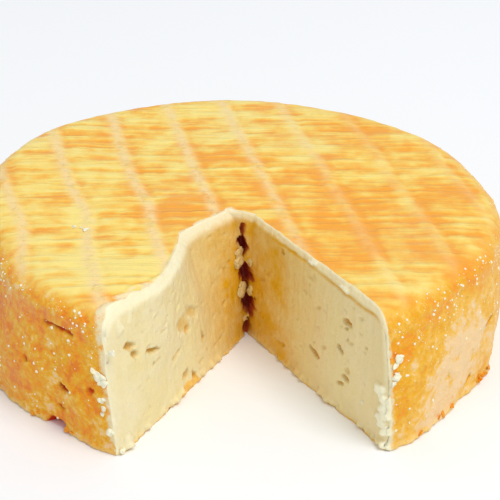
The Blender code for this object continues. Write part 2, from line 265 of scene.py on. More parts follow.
# Share of a flake's radius that its steep edge takes up, and its lumps: mean, swing, size
FLAKE_EDGE = 0.22
FLAKE_LUMPS = (0.8, 0.45, 0.0018)
# Whiter lip along the left cut's top edge, partly paste and partly painted highlight of the rolled edge: its share of
# white, where it starts and ends under the edge
LIP_WHITE = (0.50, 0.0010, 0.0036)

# Crumbs of paste. On the flank: direction in degrees, height, radius
FLANK_CRUMBS = metres((
    (-115.5, 26.2, 1.9),
    (-114.6, 24.6, 1.6),
    (-115.1, 18.6, 1.1),
    (-114.5, 16.3, 0.9),
    (-114.8, 14, 0.8),
    (-113.2, 34.7, 1.1),
    (-113.2, 8.6, 1.4),
    (-57.4, 31.2, 1.4),
    (-57.9, 29.6, 1.2),
    (-57.8, 25.6, 1.4),
    (-58.5, 24, 1),
), 0)
# On a cut: left -1 or right 1, distance along it, height, radius
CUT_CRUMBS = metres((
    (1, 62.6, 10.8, 0.7),
    (-1, 75.5, 1.5, 1.3),
    (-1, 1.4, 31.4, 2.2),
    (-1, 2.4, 29, 2.4),
    (1, 1, 28.8, 1.7),
    (-1, 1.4, 19.6, 2.1),
    (-1, 2.6, 17.8, 2.3),
    (1, 1.2, 18.2, 1.4),
    (-1, 1.4, 7.2, 1.2),
), 0)
# On the top: place from the axis, radius
TOP_CRUMBS = metres((
    (-54.5, -27, 0.7),
    (-52.2, -27.6, 0.5),
    (-50.2, -28.8, 0.8),
))
CRUMB_LUMPS = 3
# Least and most radii of a lump along its axes, size of the smaller lumps, their spread, and how far out all sit
CRUMB_RADII = ((0.75, 0.55, 0.35), (1.20, 0.95, 0.60))
CRUMB_SHARES = (0.5, 0.85)
CRUMB_SPREAD = 0.50
CRUMB_OUT = 0.3
# Crumbs are amber, painted shade of the inner corner, within the first distance from it, and white past the second
CRUMB_SHADE_REACH = (0.003, 0.012)
# How fast the noise that makes a grain lumpy changes over it
LUMP_RATE = 1.4
# Angle to the neighbours that give the rind's direction
NEIGHBOUR_TURN = 0.004
CRUMB_SEED = 7
# White specks: count, radius; and the small ones between them
SPECK_COUNTS = (840, 1900)
SPECK_RADII = ((0.00030, 0.00054), (0.00012, 0.00024))
# Spread of their distance under the rim; share of those that lie anywhere, and how far down they reach
SPECK_DROP = 0.0105
SPECK_STRAYS = (0.35, 0.042)
# Least distance under the top and over the floor, and size of the clumps
SPECK_LIMITS = (0.0008, 0.002)
SPECK_CLUMP = 0.012
SPECK_SEED = 3
# Chips of rind at the foot: direction in degrees, spread, count
CHIPS = (
    (-26, 2.2, 14),
    (-44, 6, 4),
    (-128, 9, 7),
    (-155, 12, 6),
    (80, 60, 18),
)
CHIP_SIZE = (0.0012, 0.0008, 0.0003)
CHIP_HEIGHTS = (0.0006, 0.0022)
CHIP_SEED = 5
# Small pits of the paste on each cut: count, size, and a random share of it
SMALL_PITS = 70
SMALL_PIT_SIZE = (0.0003, 0.0009)
SMALL_PIT_SHARE = (0.5, 1)
# Where they lie as shares of the cut's length and height, how long and how deep they are for their size, and tilt
SMALL_PIT_PLACE = (0.08, 0.97)
SMALL_PIT_LEVEL = (0.05, 0.92)
SMALL_PIT_LENGTH = (1, 2.4)
SMALL_PIT_DEPTH = 0.8
SMALL_PIT_TILT = (-25, 35)

# Creases and pits of the flank: direction in degrees, height, half length, half height, depth, tilt
FLANK_PITS = metres((
    (-128.3, 36.9, 2.9, 0.6, 1.2, 3),
    (-125.2, 37.1, 2.7, 0.7, 1.7, -3),
    (-122.9, 36.7, 1.7, 0.6, 1.3, -12),
    (-124.3, 17.1, 2.3, 1.1, 2.4, -15),
    (-117.6, 20.4, 1.6, 1.2, 1, 0),
    (-133.9, 21.5, 1.3, 0.6, 1.2, -50),
    (-125.7, 8.9, 1.8, 0.6, 1.2, -20),
    (-127, 0, 4.6, 3.6, 3.6, -6),
    (-25.4, 22.2, 2.4, 0.7, 1.8, 32),
    (-33, 6, 2.6, 0.9, 1.4, 40),
    (48, 24, 5, 0.9, 2, 12),
    (118, 30, 5.5, 0.9, 2, -15),
    (171, 14, 3.5, 1.3, 2, 20),
), 0, -1)
# Depth where a crease is wholly brown with painted shade, and the radius that turns its angles into lengths
CREASE_DEPTH = 0.0015
PIT_RADIUS = 0.09

# Patches of the rind: middle from the axis, reach, and how much paler, or deeper where below 0.
# Partly the rind's own tone, partly painted light: the pale patches on the top's left are painted highlights,
# most patches on the right flank make it paler as painted light, and most on the left flank deeper as painted shade
PATCHES = metres((
    (-41, -23, 46, 10, 0.46),
    (-71, 21, 46, 15, 0.2),
    (-33, -51, 46, 10, 0.66),
    (-74, -10, 46, 12, 0.12),
    (-52, 10, 46, 9, 0.06),
    (52, -52, 46, 10, 0.04),
    (68, -54, 44, 8, -0.1),
    (55, -66, 44, 6, 0.05),
    (-23, -15, 46, 13, -0.42),
    (32, -30, 46, 16, -0.3),
    (62, -31, 46, 13, -0.32),
    (-45, -77, 42, 7, -0.12),
    (-67, -59, 22, 13, -0.2),
    (-42, -79, 30, 6, -0.12),
    (-42, -79, 13, 10, -0.14),
    (-54, -71, 29, 7, 0.12),
    (50, -74, 36, 9, -0.1),
    (51, -73, 20, 9, -0.1),
    (56, -70, 37, 3, -0.16),
    (60, -65, 11, 8, 0.05),
    (71, -54, 41, 8, -0.1),
    (54, -71, 25.5, 2.5, 0.55),
    (72, -52, 24, 11, 0.48),
    (67, -58, 8, 9, 0.42),
    (56, -69, 3, 8, 0.36),
    (84, -29, 20, 12, 0.2),
), -1)

# Counts of the two grids
COLUMNS = 384
COLUMN_CROWDING = 0.45
# The columns leave the inner corner between these shares of them, all but this share, so that none crosses a cut
COLUMN_START = (0.20, 0.68, 0.03)
# Share of the columns beside each cut that bend to follow its top edge
COLUMN_PULL = 0.25
TOP_ROWS = 80
RIM_ROWS = 13
FLANK_ROWS = 54
BASE_ROWS = 5
CUT_COLUMNS = 150
CUT_ROWS = 98
APEX_COLUMNS = 24
# How sharply the cut's columns bend to the flank: the larger, the closer to it
OUTER_BEND = 8

# How far the rind's edge stands behind a cut, and the cut's edge inside the rind
EDGE_BACK = 0.0011
EDGE_WANDER = (0.45 / 1.4, 0.0030)
EDGE_IN = 0.00070
# Rounding of the cut's edges: depth, width, and the height over the foot where it is full
EDGE_ROUND = (0.0006, 0.0020, 0.001)
PIT_CALM = 0.0016
EDGE_STEPS = 8
SKIN_INSET = 0.00025
LATTICE = 32
MM = 1000


def ease(value, low, high):
    """0 below low, 1 above high, and 3t^2 - 2t^3 between."""
    t = np.clip((value - low) / (high - low), 0, 1)
    return t * t * (3 - 2 * t)


def wander(points, size, seed):
    """Smooth noise from -1 to 1: random values on a lattice of cells this size, eased between them."""
    lattice = np.random.default_rng(seed).uniform(-1, 1, (LATTICE, LATTICE, LATTICE))
    cells = points / size + LATTICE * 4
    low = np.floor(cells).astype(int)
    part = ease(cells - low, 0, 1)
    total = np.zeros(points.shape[:-1])
    for corner in itertools.product((0, 1), repeat=3):
        share = np.where(np.array(corner) == 1, part, 1 - part).prod(axis=-1)
        i, j, k = np.moveaxis((low + corner) % LATTICE, -1, 0)
        total += share * lattice[i, j, k]
    return total


def crumble(points, size, seed):
    """Noise in three sizes: each is half as large and half as strong as the one before."""
    return sum(wander(points, size / 2**n, seed + n) / 2**n for n in range(3))


def bell(distance, width):
    """1 at distance 0, and e^-(distance / width)^2 away from it."""
    return np.exp(-((distance / width) ** 2))


def stacked(*parts):
    """Points from three coordinates, each an array or one number."""
    return np.stack(np.broadcast_arrays(*parts), axis=-1)


def turned_from(angle, place):
    """How far angles are from a direction given in degrees, from -pi to pi."""
    return (angle - radians(place) + pi) % (2 * pi) - pi


def swell(angle, bumps):
    """Sum of bell curves round the circle, for an uneven outline."""
    total = np.zeros(angle.shape)
    for place, depth, spread in bumps:
        total += depth * np.exp(-0.5 * (turned_from(angle, place) / radians(spread)) ** 2)
    return total


def turn_pair(first, second, degrees):
    """Turn two coordinates, or two unit vectors, in their own plane."""
    turn = radians(degrees)
    return (
        first * cos(turn) + second * sin(turn),
        second * cos(turn) - first * sin(turn),
    )


def polar(radius, angle, height):
    """Points from radius, angle and height."""
    return stacked(radius * np.cos(angle), radius * np.sin(angle), height)


def mat_marks(x, y):
    """Bands along one direction, the groove beside each, and fine broken ridges across the wheel.

    Band and groove are bell curves of the place across the bands. A ridge is a cosine of the place
    across the ridges, bent and made stronger and weaker by noise that is stretched along them.
    """
    across = x * cos(BAND_TURN) + y * sin(BAND_TURN)
    place = (across - BAND_OFFSET + BAND_SPACING / 2) % BAND_SPACING - BAND_SPACING / 2
    band = np.exp(-np.abs(place / (BAND_WIDTH / 2)) ** BAND_POWER)
    groove = bell(place - BAND_WIDTH * GROOVE_SHARES[0], BAND_WIDTH * GROOVE_SHARES[1])
    run = x * cos(RIDGE_TURN) + y * sin(RIDGE_TURN)
    level = y * cos(RIDGE_TURN) - x * sin(RIDGE_TURN)
    drawn = stacked(run / RIDGE_STRETCH, level, 0)
    bend = RIDGE_WANDER * wander(drawn, RIDGE_SPACING * 1.5, 22)
    strength = RIDGE_STRENGTH[0] + RIDGE_STRENGTH[1] * wander(drawn, RIDGE_SPACING, 23)
    ridge = np.cos(2 * pi * (level + bend) / RIDGE_SPACING) * strength
    ridge += RIDGE_BREAKS * wander(drawn, RIDGE_SPACING / 2, 25)
    return band, groove, ridge * (1 - RIDGE_COVER * band)


def beside_cuts(form, points):
    """Distance of points from the nearer cut, or from the inner corner where that is nearer."""
    reached = (cut_distance(form, points, side) for side in (1, -1))
    return np.minimum(*(np.hypot(gap, np.minimum(along, 0)) for gap, along in reached))


def fold_rise(form, points):
    """Height of the folds of paste beside the left cut.

    Each is a bell curve of the distance from its line, less a weaker one on both sides of it.
    """
    gap, along = cut_distance(form, points, -1)
    total = np.zeros(gap.shape)
    for *ends, half, rise in FOLDS:
        start, end = np.reshape(ends, (2, 2))
        run = end - start
        share = ((along - start[0]) * run[0] + (gap - start[1]) * run[1]) / (run @ run)
        share = np.clip(share, 0, 1)
        far = np.hypot(along - start[0] - share * run[0], gap - start[1] - share * run[1])
        total += rise * (bell(far, half) - FOLD_GROOVE[0] * bell(far / half - FOLD_GROOVE[1], 1))
    return total


def smeared(form, points):
    """Share of paste smeared over the rind: 1 at a cut's edge, falling to 0 over the smear's width."""
    top = ease(points[..., 2], form.height - 2 * form.rim_round, form.height)
    total = np.zeros(points.shape[:-1])
    for side, (over_top, over_flank) in SMEAR_WIDTH.items():
        gap, along = cut_distance(form, points, side)
        width = over_flank + (over_top - over_flank) * top
        if side < 0:
            width = width + top * SMEAR_CORNER[0] * ease(along, *SMEAR_CORNER[1:])
        total = np.maximum(total, 1 - np.hypot(gap, np.minimum(along, 0)) / width)
    return total


def flank_hollows(angle, height):
    """Depth of the flank's creases and pits: half an ellipsoid for each, in degrees round and height."""
    total = np.zeros(angle.shape)
    for place, level, length, tall, depth, tilt in FLANK_PITS:
        across, up = turn_pair(turned_from(angle, place) * PIT_RADIUS, height - level, tilt)
        left = 1 - (across / length) ** 2 - (up / tall) ** 2
        total = np.maximum(total, depth * np.sqrt(np.clip(left, 0, None)))
    return total


def shaped(form, points):
    """The rind's true place for points of the turned wheel.

    The radius is scaled by the outline's swells, blended from base to top.
    The flank moves outwards by waves and grain, and inwards at its creases.
    The top moves up and down by waves, the shoulder and the mat's marks.
    """
    x, y, z = np.moveaxis(points, -1, 0)
    angle = np.arctan2(y, x)
    radius = np.hypot(x, y)
    share = z / form.height
    swells = swell(angle, BASE_SWELLS) * (1 - share) + swell(angle, TOP_SWELLS) * share
    outwards = (swells - SKIN_INSET) * radius / form.base_radius
    flank = ease(radius, form.top_radius - form.rim_round, form.top_radius)
    outwards += flank * FLANK_WAVE[0] * wander(points, FLANK_WAVE[1], 11)
    outwards += flank * FLANK_GRAIN[0] * wander(points, FLANK_GRAIN[1], 12)
    outwards += flank * FLANK_CRUST[0] * crumble(points, FLANK_CRUST[1], 14)
    outwards -= flank * flank_hollows(angle, z)
    lip = flank * (1 - ease(z, 0, BASE_LIP_HEIGHT))
    outwards += lip * BASE_LIP[0] * (1 + wander(points, BASE_LIP[1], 13))
    outwards += lip * BASE_FRAY[0] * crumble(points, BASE_FRAY[1], 15)
    top = ease(z, form.height - form.rim_round, form.height)
    inner = 1 - ease(radius, *(form.top_radius - form.rim_round * share for share in MARKS_END))
    level = stacked(x, y, 0)
    band, groove, ridge = mat_marks(x, y)
    upwards = TOP_WAVE[0] * wander(level, TOP_WAVE[1], 21)
    upwards -= form.shoulder_drop * ease(radius, form.top_radius - form.shoulder_width, form.top_radius) ** 2
    marks = BAND_HEIGHT * band - GROOVE_DEPTH * groove + RIDGE_HEIGHT * ridge
    flat = level + (0, 0, form.height)
    marks = marks * (CALM_LEAST + (1 - CALM_LEAST) * ease(beside_cuts(form, flat), 0, CALM_REACH))
    upwards += top * fold_rise(form, flat)
    upwards += inner * marks + TOP_WRINKLE[0] * crumble(level, TOP_WRINKLE[1], 24) - SKIN_INSET
    scale = 1 + outwards / np.maximum(radius, 1e-6)
    return stacked(x * scale, y * scale, z + top * upwards)


def cut_lean(along, side):
    """How far the top of a cut stands back from its foot, at this distance from the inner corner."""
    if side > 0:
        return -RIGHT_CURL[0] * ease(along, *RIGHT_CURL[1:])
    lean, narrowest = LEAN_LEAST
    for away, (rise, reach, power, most) in ((along - narrowest, LEAN_OUTER), (narrowest - along, LEAN_INNER)):
        lean = lean + rise * np.clip(away / reach, 0, most) ** power
    near = 1 - ease(along, 0, APEX_LEAN[1])
    return lean * (1 - near) + APEX_LEAN[0] * near


def cut_frame(form, side):
    """Unit vectors along a cut, away from the inner corner, and back into the cheese behind it."""
    turn = form.right_cut if side > 0 else -form.left_cut
    along = np.array((sin(turn), -cos(turn), 0))
    back = np.array((cos(turn), sin(turn), 0)) * side
    return along, back


def cut_points(form, along, height, side):
    """Points of a cut: its foot line plus a lean that grows with height, plus waves of the knife."""
    direction, back = cut_frame(form, side)
    share = np.clip(height / form.height, 0, 1)
    offset = cut_lean(along, side) * share**LEAN_CURVE
    offset += EDGE_ROLL[side] * ease(height, form.height - EDGE_ROLL_REACH, form.height) ** 2
    points = np.array((*form.apex, 0)) + along[..., None] * direction + offset[..., None] * back
    points[..., 2] += height
    waves = CUT_WAVE[0] * wander(points, CUT_WAVE[1], 31)
    return points + waves[..., None] * back


def cut_distance(form, points, side):
    """How far points stand behind a cut, and how far along it they are."""
    direction, back = cut_frame(form, side)
    along = (points - np.array((*form.apex, 0))) @ direction
    return (points - cut_points(form, along, points[..., 2], side)) @ back, along


def lower_profile(form):
    """Turned radius and height of the rows below the flat top: rim, flank and base edge.

    Rim and base edge are quarter circles, and the flank is a straight line plus a sine bulge.
    """
    def corner(radius, level, size, start, end, rows):
        """An arc of this size that ends at this radius, from the first angle to the second."""
        turn = np.linspace(start, end, rows)
        return radius - size + size * np.cos(turn), level + size * np.sin(turn)

    quarter = pi / 2
    rim = corner(form.top_radius, form.height - form.rim_round, form.rim_round, quarter, 0, RIM_ROWS)
    share = np.linspace(0, 1, FLANK_ROWS + 1)[1:-1]
    rise = form.height - form.rim_round - form.base_round
    flank = (form.top_radius + (form.base_radius - form.top_radius) * share + form.bulge * np.sin(pi * share),
             form.base_round + rise * (1 - share))
    base = corner(form.base_radius, form.base_round, form.base_round, 0, -quarter, BASE_ROWS)
    return np.hstack((rim, flank, base))


def ragged_back(side, place):
    """How far the rind's edge stands behind a cut at these places along it: EDGE_BACK times noise about 1."""
    line = stacked(place, 0, side)
    return EDGE_BACK * (1 + EDGE_WANDER[0] * crumble(line, EDGE_WANDER[1], 41))


def edge_column(form, profile, side, setback):
    """Turned points of these profile rows that stand this far behind a cut once shaped.

    The angle of each row is stepped by its distance from there over the row's radius.
    """
    radius, height = profile
    _, back = cut_frame(form, side)
    angle = np.full(radius.shape, radians(-90 + 30 * side))
    for _ in range(EDGE_STEPS):
        gap, _ = cut_distance(form, shaped(form, polar(radius, angle, height)), side)
        slope = radius * (back[1] * np.cos(angle) - back[0] * np.sin(angle))
        angle = angle - (gap - setback) / slope
    return polar(radius, angle, height)


def edge_top(form, along, side, setback):
    """Turned points of the top that stand this far behind a cut once shaped, at these distances along it."""
    _, back = cut_frame(form, side)
    height = np.full(along.shape, form.height)
    target = cut_points(form, along, height, side) + np.multiply.outer(setback, back)
    turned = target.copy()
    for _ in range(EDGE_STEPS):
        moved = shaped(form, turned) - turned
        turned[:, :2] = (target - moved)[:, :2]
    return turned


def rind_grid(form):
    """Turned points of the rind, in rows from the inner corner over the rim to the base.

    A column runs straight from the inner corner's edge to the rim, then down the flank.
    The outer columns bend to follow the cuts' top edges, and they stand closer together than those behind.
    """
    profile = lower_profile(form)
    ends = {side: edge_column(form, profile, side, ragged_back(side, profile[1])) for side in (1, -1)}
    angles = {side: np.arctan2(ends[side][:, 1], ends[side][:, 0]) for side in (1, -1)}
    share = np.linspace(0, 1, COLUMNS)
    share = share - COLUMN_CROWDING * np.sin(2 * pi * share) / (2 * pi)
    angle = angles[1][:, None] * (1 - share) + (angles[-1][:, None] + 2 * pi) * share
    lower = polar(profile[0][:, None], angle, profile[1][:, None])
    step = np.linspace(0, 1, TOP_ROWS + 1)[:-1]
    tops = {}
    for side in (1, -1):
        _, reach = cut_distance(form, shaped(form, ends[side][:1]), side)
        along = CUT_START + step * (reach[0] - CUT_START)
        tops[side] = edge_top(form, along, side, ragged_back(side, form.height + reach[0] - along))
    tuck = np.array((0, EDGE_BACK, 0))
    low, high, loose = COLUMN_START
    leave = ((1 - loose) * ease(share, low, high) + loose * share)[:, None]
    start = tops[1][0] * (1 - leave) + tops[-1][0] * leave + tuck
    top = start + step[:, None, None] * (lower[0] - start)
    pull = {1: 1 - ease(share, 0, COLUMN_PULL), -1: ease(share, 1 - COLUMN_PULL, 1)}
    for side, column in ((1, 0), (-1, -1)):
        fix = tops[side] - top[:, column]
        fix[0] = 0
        top = top + fix[:, None, :] * pull[side][:, None]
    return np.concatenate((top, lower))


def spots(along, height, rows, seed):
    """For each eye or flake its depth, and how far inside its ragged ellipse points are: 1 in the middle, 0 outside."""
    flat = stacked(along, height, 0)
    ragged = 1 + EYE_RAGGED[0] * crumble(flat, EYE_RAGGED[1], seed)
    for place, level, length, tall, depth, tilt in rows:
        across, up = turn_pair(along - place, height - level, tilt)
        yield depth, np.clip(1 - np.hypot(across / length, up / tall) * ragged, 0, 1)


def eyes_depth(along, height, eyes, seed):
    """Depth of the eyes in a cut: half an ellipsoid for each."""
    total = np.zeros(along.shape)
    for depth, inside in spots(along, height, eyes, seed):
        total = np.maximum(total, depth * np.sqrt(1 - (1 - inside) ** 2))
    return total


def flakes_rise(along, height, flakes, seed):
    """Thickness of the flakes on a cut, and their share of cover: plates with steep edges."""
    total = np.zeros(along.shape)
    cover = np.zeros(along.shape)
    for thick, inside in spots(along, height, flakes, seed):
        plate = ease(inside, 0, FLAKE_EDGE)
        total = np.maximum(total, thick * plate)
        cover = np.maximum(cover, plate)
    return total, cover


def small_pits(count, reach, height, seed):
    """Seeded little pits spread over a cut, as rows like those of the eyes."""
    random = np.random.default_rng(seed)
    size = random.uniform(*SMALL_PIT_SIZE, count) * random.uniform(*SMALL_PIT_SHARE, count)
    return np.column_stack((
        random.uniform(*SMALL_PIT_PLACE, count) * reach,
        random.uniform(*SMALL_PIT_LEVEL, count) * height,
        size * random.uniform(*SMALL_PIT_LENGTH, count),
        size,
        size * SMALL_PIT_DEPTH,
        random.uniform(*SMALL_PIT_TILT, count),
    ))


def cut_side(form, side):
    """One cut as a grid of rows from foot to top, with its depth under the rind, amber of painted shade, flakes and
    foot rind.

    The top and outer edges are where the rind meets the cut, moved EDGE_IN inwards.
    Between foot and top the points follow straight lines, bent to the flank at the outer end.
    Points are pushed back by eyes, pits and waves, and out by flakes and the scalloped foot.
    """
    profile = lower_profile(form)
    lower = shaped(form, edge_column(form, profile, side, 0))
    _, reach = cut_distance(form, lower, side)
    steps = np.linspace(CUT_START, reach[0], CUT_COLUMNS + 1)[:-1]
    upper = shaped(form, edge_top(form, steps, side, np.zeros(len(steps))))
    edge = np.column_stack((np.concatenate((steps, reach)), np.concatenate((upper[:, 2], lower[:, 2]))))
    slope = np.gradient(edge, axis=0)
    slope /= np.maximum(np.linalg.norm(slope, axis=1), 1e-9)[:, None]
    edge = edge + EDGE_IN * np.column_stack((slope[:, 1], -slope[:, 0]))
    corner = CUT_COLUMNS + RIM_ROWS
    over, down = edge[:corner], edge[corner - 1:]
    over[0, 0] = CUT_START
    rows = np.linspace(0, 1, CUT_ROWS + 1)[:, None]
    outer = np.interp(rows[:, 0] * over[-1, 1], down[::-1, 1], down[::-1, 0])
    spread = (over[:, 0] - CUT_START) / (over[-1, 0] - CUT_START)
    foot = CUT_START + spread * (outer[0] - CUT_START)
    along = foot + (over[:, 0] - foot) * rows
    along = along + (outer[:, None] - along[:, -1:]) * spread**OUTER_BEND
    height = over[:, 1] * rows
    edge_gap = np.minimum(over[:, 1] - height, outer[:, None] - along)
    depth = np.minimum(height, edge_gap)
    points = cut_points(form, along, height, side)
    eyes, flakes = (LEFT_EYES, LEFT_FLAKES) if side < 0 else (RIGHT_EYES, RIGHT_FLAKES)
    pits = small_pits(SMALL_PITS, reach[0], form.height, 50 + side)
    push = eyes_depth(along, height, (*eyes, *pits), 70 + 10 * side)
    push *= ease(edge_gap, 0, PIT_CALM)
    # Amber is painted shade: of the inner corner, of the shaded right cut, and inside the eyes
    amber = AMBER_SHADE_BASE[side] + (1 - AMBER_SHADE_BASE[side]) * (1 - ease(along, *AMBER_SHADE_REACH[side]))
    amber += EYE_SHADE_AMBER[0] * ease(push, *EYE_SHADE_AMBER[1:])
    drag = stacked(along, height / DRAG_WAVE[2], 0)
    push += EDGE_ROUND[0] * (1 - ease(edge_gap, 0, EDGE_ROUND[1])) ** 2 * ease(height, 0, EDGE_ROUND[2])
    waves = crumble(points, SMEAR_WAVE[1], 33) + DRAG_WAVE[0] * wander(drag, DRAG_WAVE[1], 35)
    push += SMEAR_WAVE[0] * waves * ease(depth, 0, SMEAR_CALM)
    foot_line = stacked(along, 0, 0)
    lip = bell(height - FOOT_LIP[1], FOOT_LIP[2]) * ease(along, 0, FOOT_LIP_START)
    mean, swing, size = FOOT_SCALLOPS
    push -= lip * FOOT_LIP[0] * (mean + swing * crumble(foot_line, size, 37))
    push -= (1 - ease(height, 0, FOOT_FRAY[1])) * FOOT_FRAY[0] * crumble(foot_line, FOOT_FRAY[2], 39)
    if side > 0:
        deep, half, under = CRACK
        below = over[:, 1] - height - under * (1 + CRACK_BENDS[0] * wander(drag, CRACK_BENDS[1], 38))
        crack = bell(below, half) * ease(along, *CRACK_START) * (1 - ease(along, *CRACK_END))
        push += deep * crack
        # The crack's amber is painted shade
        amber += CRACK_SHADE_AMBER * crack
    rise, pale = flakes_rise(along, height, flakes, 90 + 10 * side)
    mean, swing, size = FLAKE_LUMPS
    rise *= mean + swing * crumble(points, size, 47)
    rindy = FOOT_RIND[0] + FOOT_RIND[1] * crumble(points, FOOT_RIND[2], 43)
    pale *= FLAKE_WHITE[side]
    if side < 0:
        # Whiter lip along the left cut's top edge: partly painted highlight
        pale = np.maximum(pale, LIP_WHITE[0] * (1 - ease(over[:, 1] - height, *LIP_WHITE[1:])))
        place, spread, tall = FOOT_PATCH
        ragged = 1 + FOOT_PATCH_RAGGED[0] * crumble(points, FOOT_PATCH_RAGGED[1], 45)
        rindy += tall * bell(along - place, spread) * ragged
    _, back = cut_frame(form, side)
    marks = (depth * MM, amber, pale, ease(rindy - height, *FOOT_RIND_EDGE))
    return points + (push - rise)[..., None] * back, *marks


def torn_slit(points):
    """Push points back into the slit: half ellipsoids behind the inner corner."""
    back = np.array((-sin(SLIT_TURN), cos(SLIT_TURN), 0))
    across = np.array((cos(SLIT_TURN), sin(SLIT_TURN), 0))
    middle = points[:, points.shape[1] // 2]
    bend = SLIT_WANDER[0] * crumble(stacked(middle[:, 2], 0, 0), SLIT_WANDER[1], 93)
    sideways = (points - middle[:, None]) @ across + bend[:, None]
    height = points[..., 2]
    ragged = 1 + SLIT_RAGGED[0] * crumble(points, SLIT_RAGGED[1], 91)
    push = np.zeros(height.shape)
    for level, tall, reach, half_width in SLITS:
        far = np.hypot(sideways / half_width, (height - level) / tall) * ragged
        push = np.maximum(push, reach * np.sqrt(np.clip(1 - far**2, 0, None)))
    return points + push[..., None] * back, push


def cut_grid(form):
    """Both cuts and the narrow wall between them as one grid, from the left outer edge to the right one.

    Along with the points come their depth under the rind, amber of painted shade, flakes, foot rind and depth in the
    slit.
    """
    left, right = cut_side(form, -1), cut_side(form, 1)
    share = np.linspace(0, 1, APEX_COLUMNS + 2)[1:-1]
    joined = []
    for first, second in zip(left, right):
        part = share[:, None] if first.ndim == 3 else share
        wall = first[:, :1] * (1 - part) + second[:, :1] * part
        joined.append(np.concatenate((first[:, ::-1], wall, second), axis=1))
    points, *marks = joined
    points, push = torn_slit(points)
    return points, *marks, ease(push, 0, 0.0040)


def grid_quads(rows, columns, first=0):
    """Quads of a grid of points that is stored row by row."""
    index = first + np.arange(rows * columns).reshape(rows, columns)
    return np.stack((index[:-1, :-1], index[:-1, 1:], index[1:, 1:], index[1:, :-1]), axis=-1).reshape(-1, 4)


def seam(points, first, second):
    """Triangles between two chains of points that run side by side.

    Each chain's edges are sorted by their middle's share of the chain's length, and
    every edge takes the point that the other chain has reached there.
    """
    middles = []
    for chain in (first, second):
        steps = np.linalg.norm(np.diff(points[chain], axis=0), axis=1)
        places = np.concatenate(([0], np.cumsum(steps))) / steps.sum()
        middles.append((places[1:] + places[:-1]) / 2)
    reached = np.searchsorted(middles[1], middles[0])
    passed = np.searchsorted(middles[0], middles[1], side="right")
    return np.vstack((
        np.column_stack((first[1:], first[:-1], second[reached])),
        np.column_stack((second[:-1], second[1:], first[passed])),
    ))


def make_mesh(name, points, groups):
    """A mesh from points and arrays of triangles or quads, with the group's number as material index."""
    corners = np.concatenate([group.ravel() for group, _ in groups]).astype(np.int32)
    sizes = np.concatenate([np.full(len(group), group.shape[1]) for group, _ in groups])
    slots = np.concatenate([np.full(len(group), slot) for group, slot in groups])
    mesh = bpy.data.meshes.new(name)
    mesh.vertices.add(len(points))
    mesh.vertices.foreach_set("co", (points + AXIS_PLACE).astype(np.float32).ravel())
    mesh.loops.add(len(corners))
    mesh.loops.foreach_set("vertex_index", corners)
    mesh.polygons.add(len(sizes))
    mesh.polygons.foreach_set("loop_start", (np.cumsum(sizes) - sizes).astype(np.int32))
    mesh.update(calc_edges=True)
    mesh.polygons.foreach_set("material_index", slots.astype(np.int32))
    mesh.shade_smooth()
    return mesh


def add_attribute(mesh, name, values):
    """Store one number for each point of the mesh."""
    attribute = mesh.attributes.new(name, "FLOAT", "POINT")
    attribute.data.foreach_set("value", values.astype(np.float32).ravel())


def add_piece(name, mesh, materials):
    """An object for this mesh, with these materials, that rides on the cheese's body."""
    for material in materials:
        mesh.materials.append(material)
    piece = bpy.data.objects.new(name, mesh)
    bpy.context.scene.collection.objects.link(piece)
    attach(piece, BODY)
    return piece


def patch_shade(points):
    """How much paler or deeper the rind is, partly painted highlight and shade: a bell curve of the distance from each
    patch's middle.
    """
    total = np.zeros(points.shape[:-1])
    for *middle, reach, amount in PATCHES:
        far = np.linalg.norm(points - middle, axis=-1)
        total += amount * np.exp(-0.5 * (far / reach) ** 2)
    return total


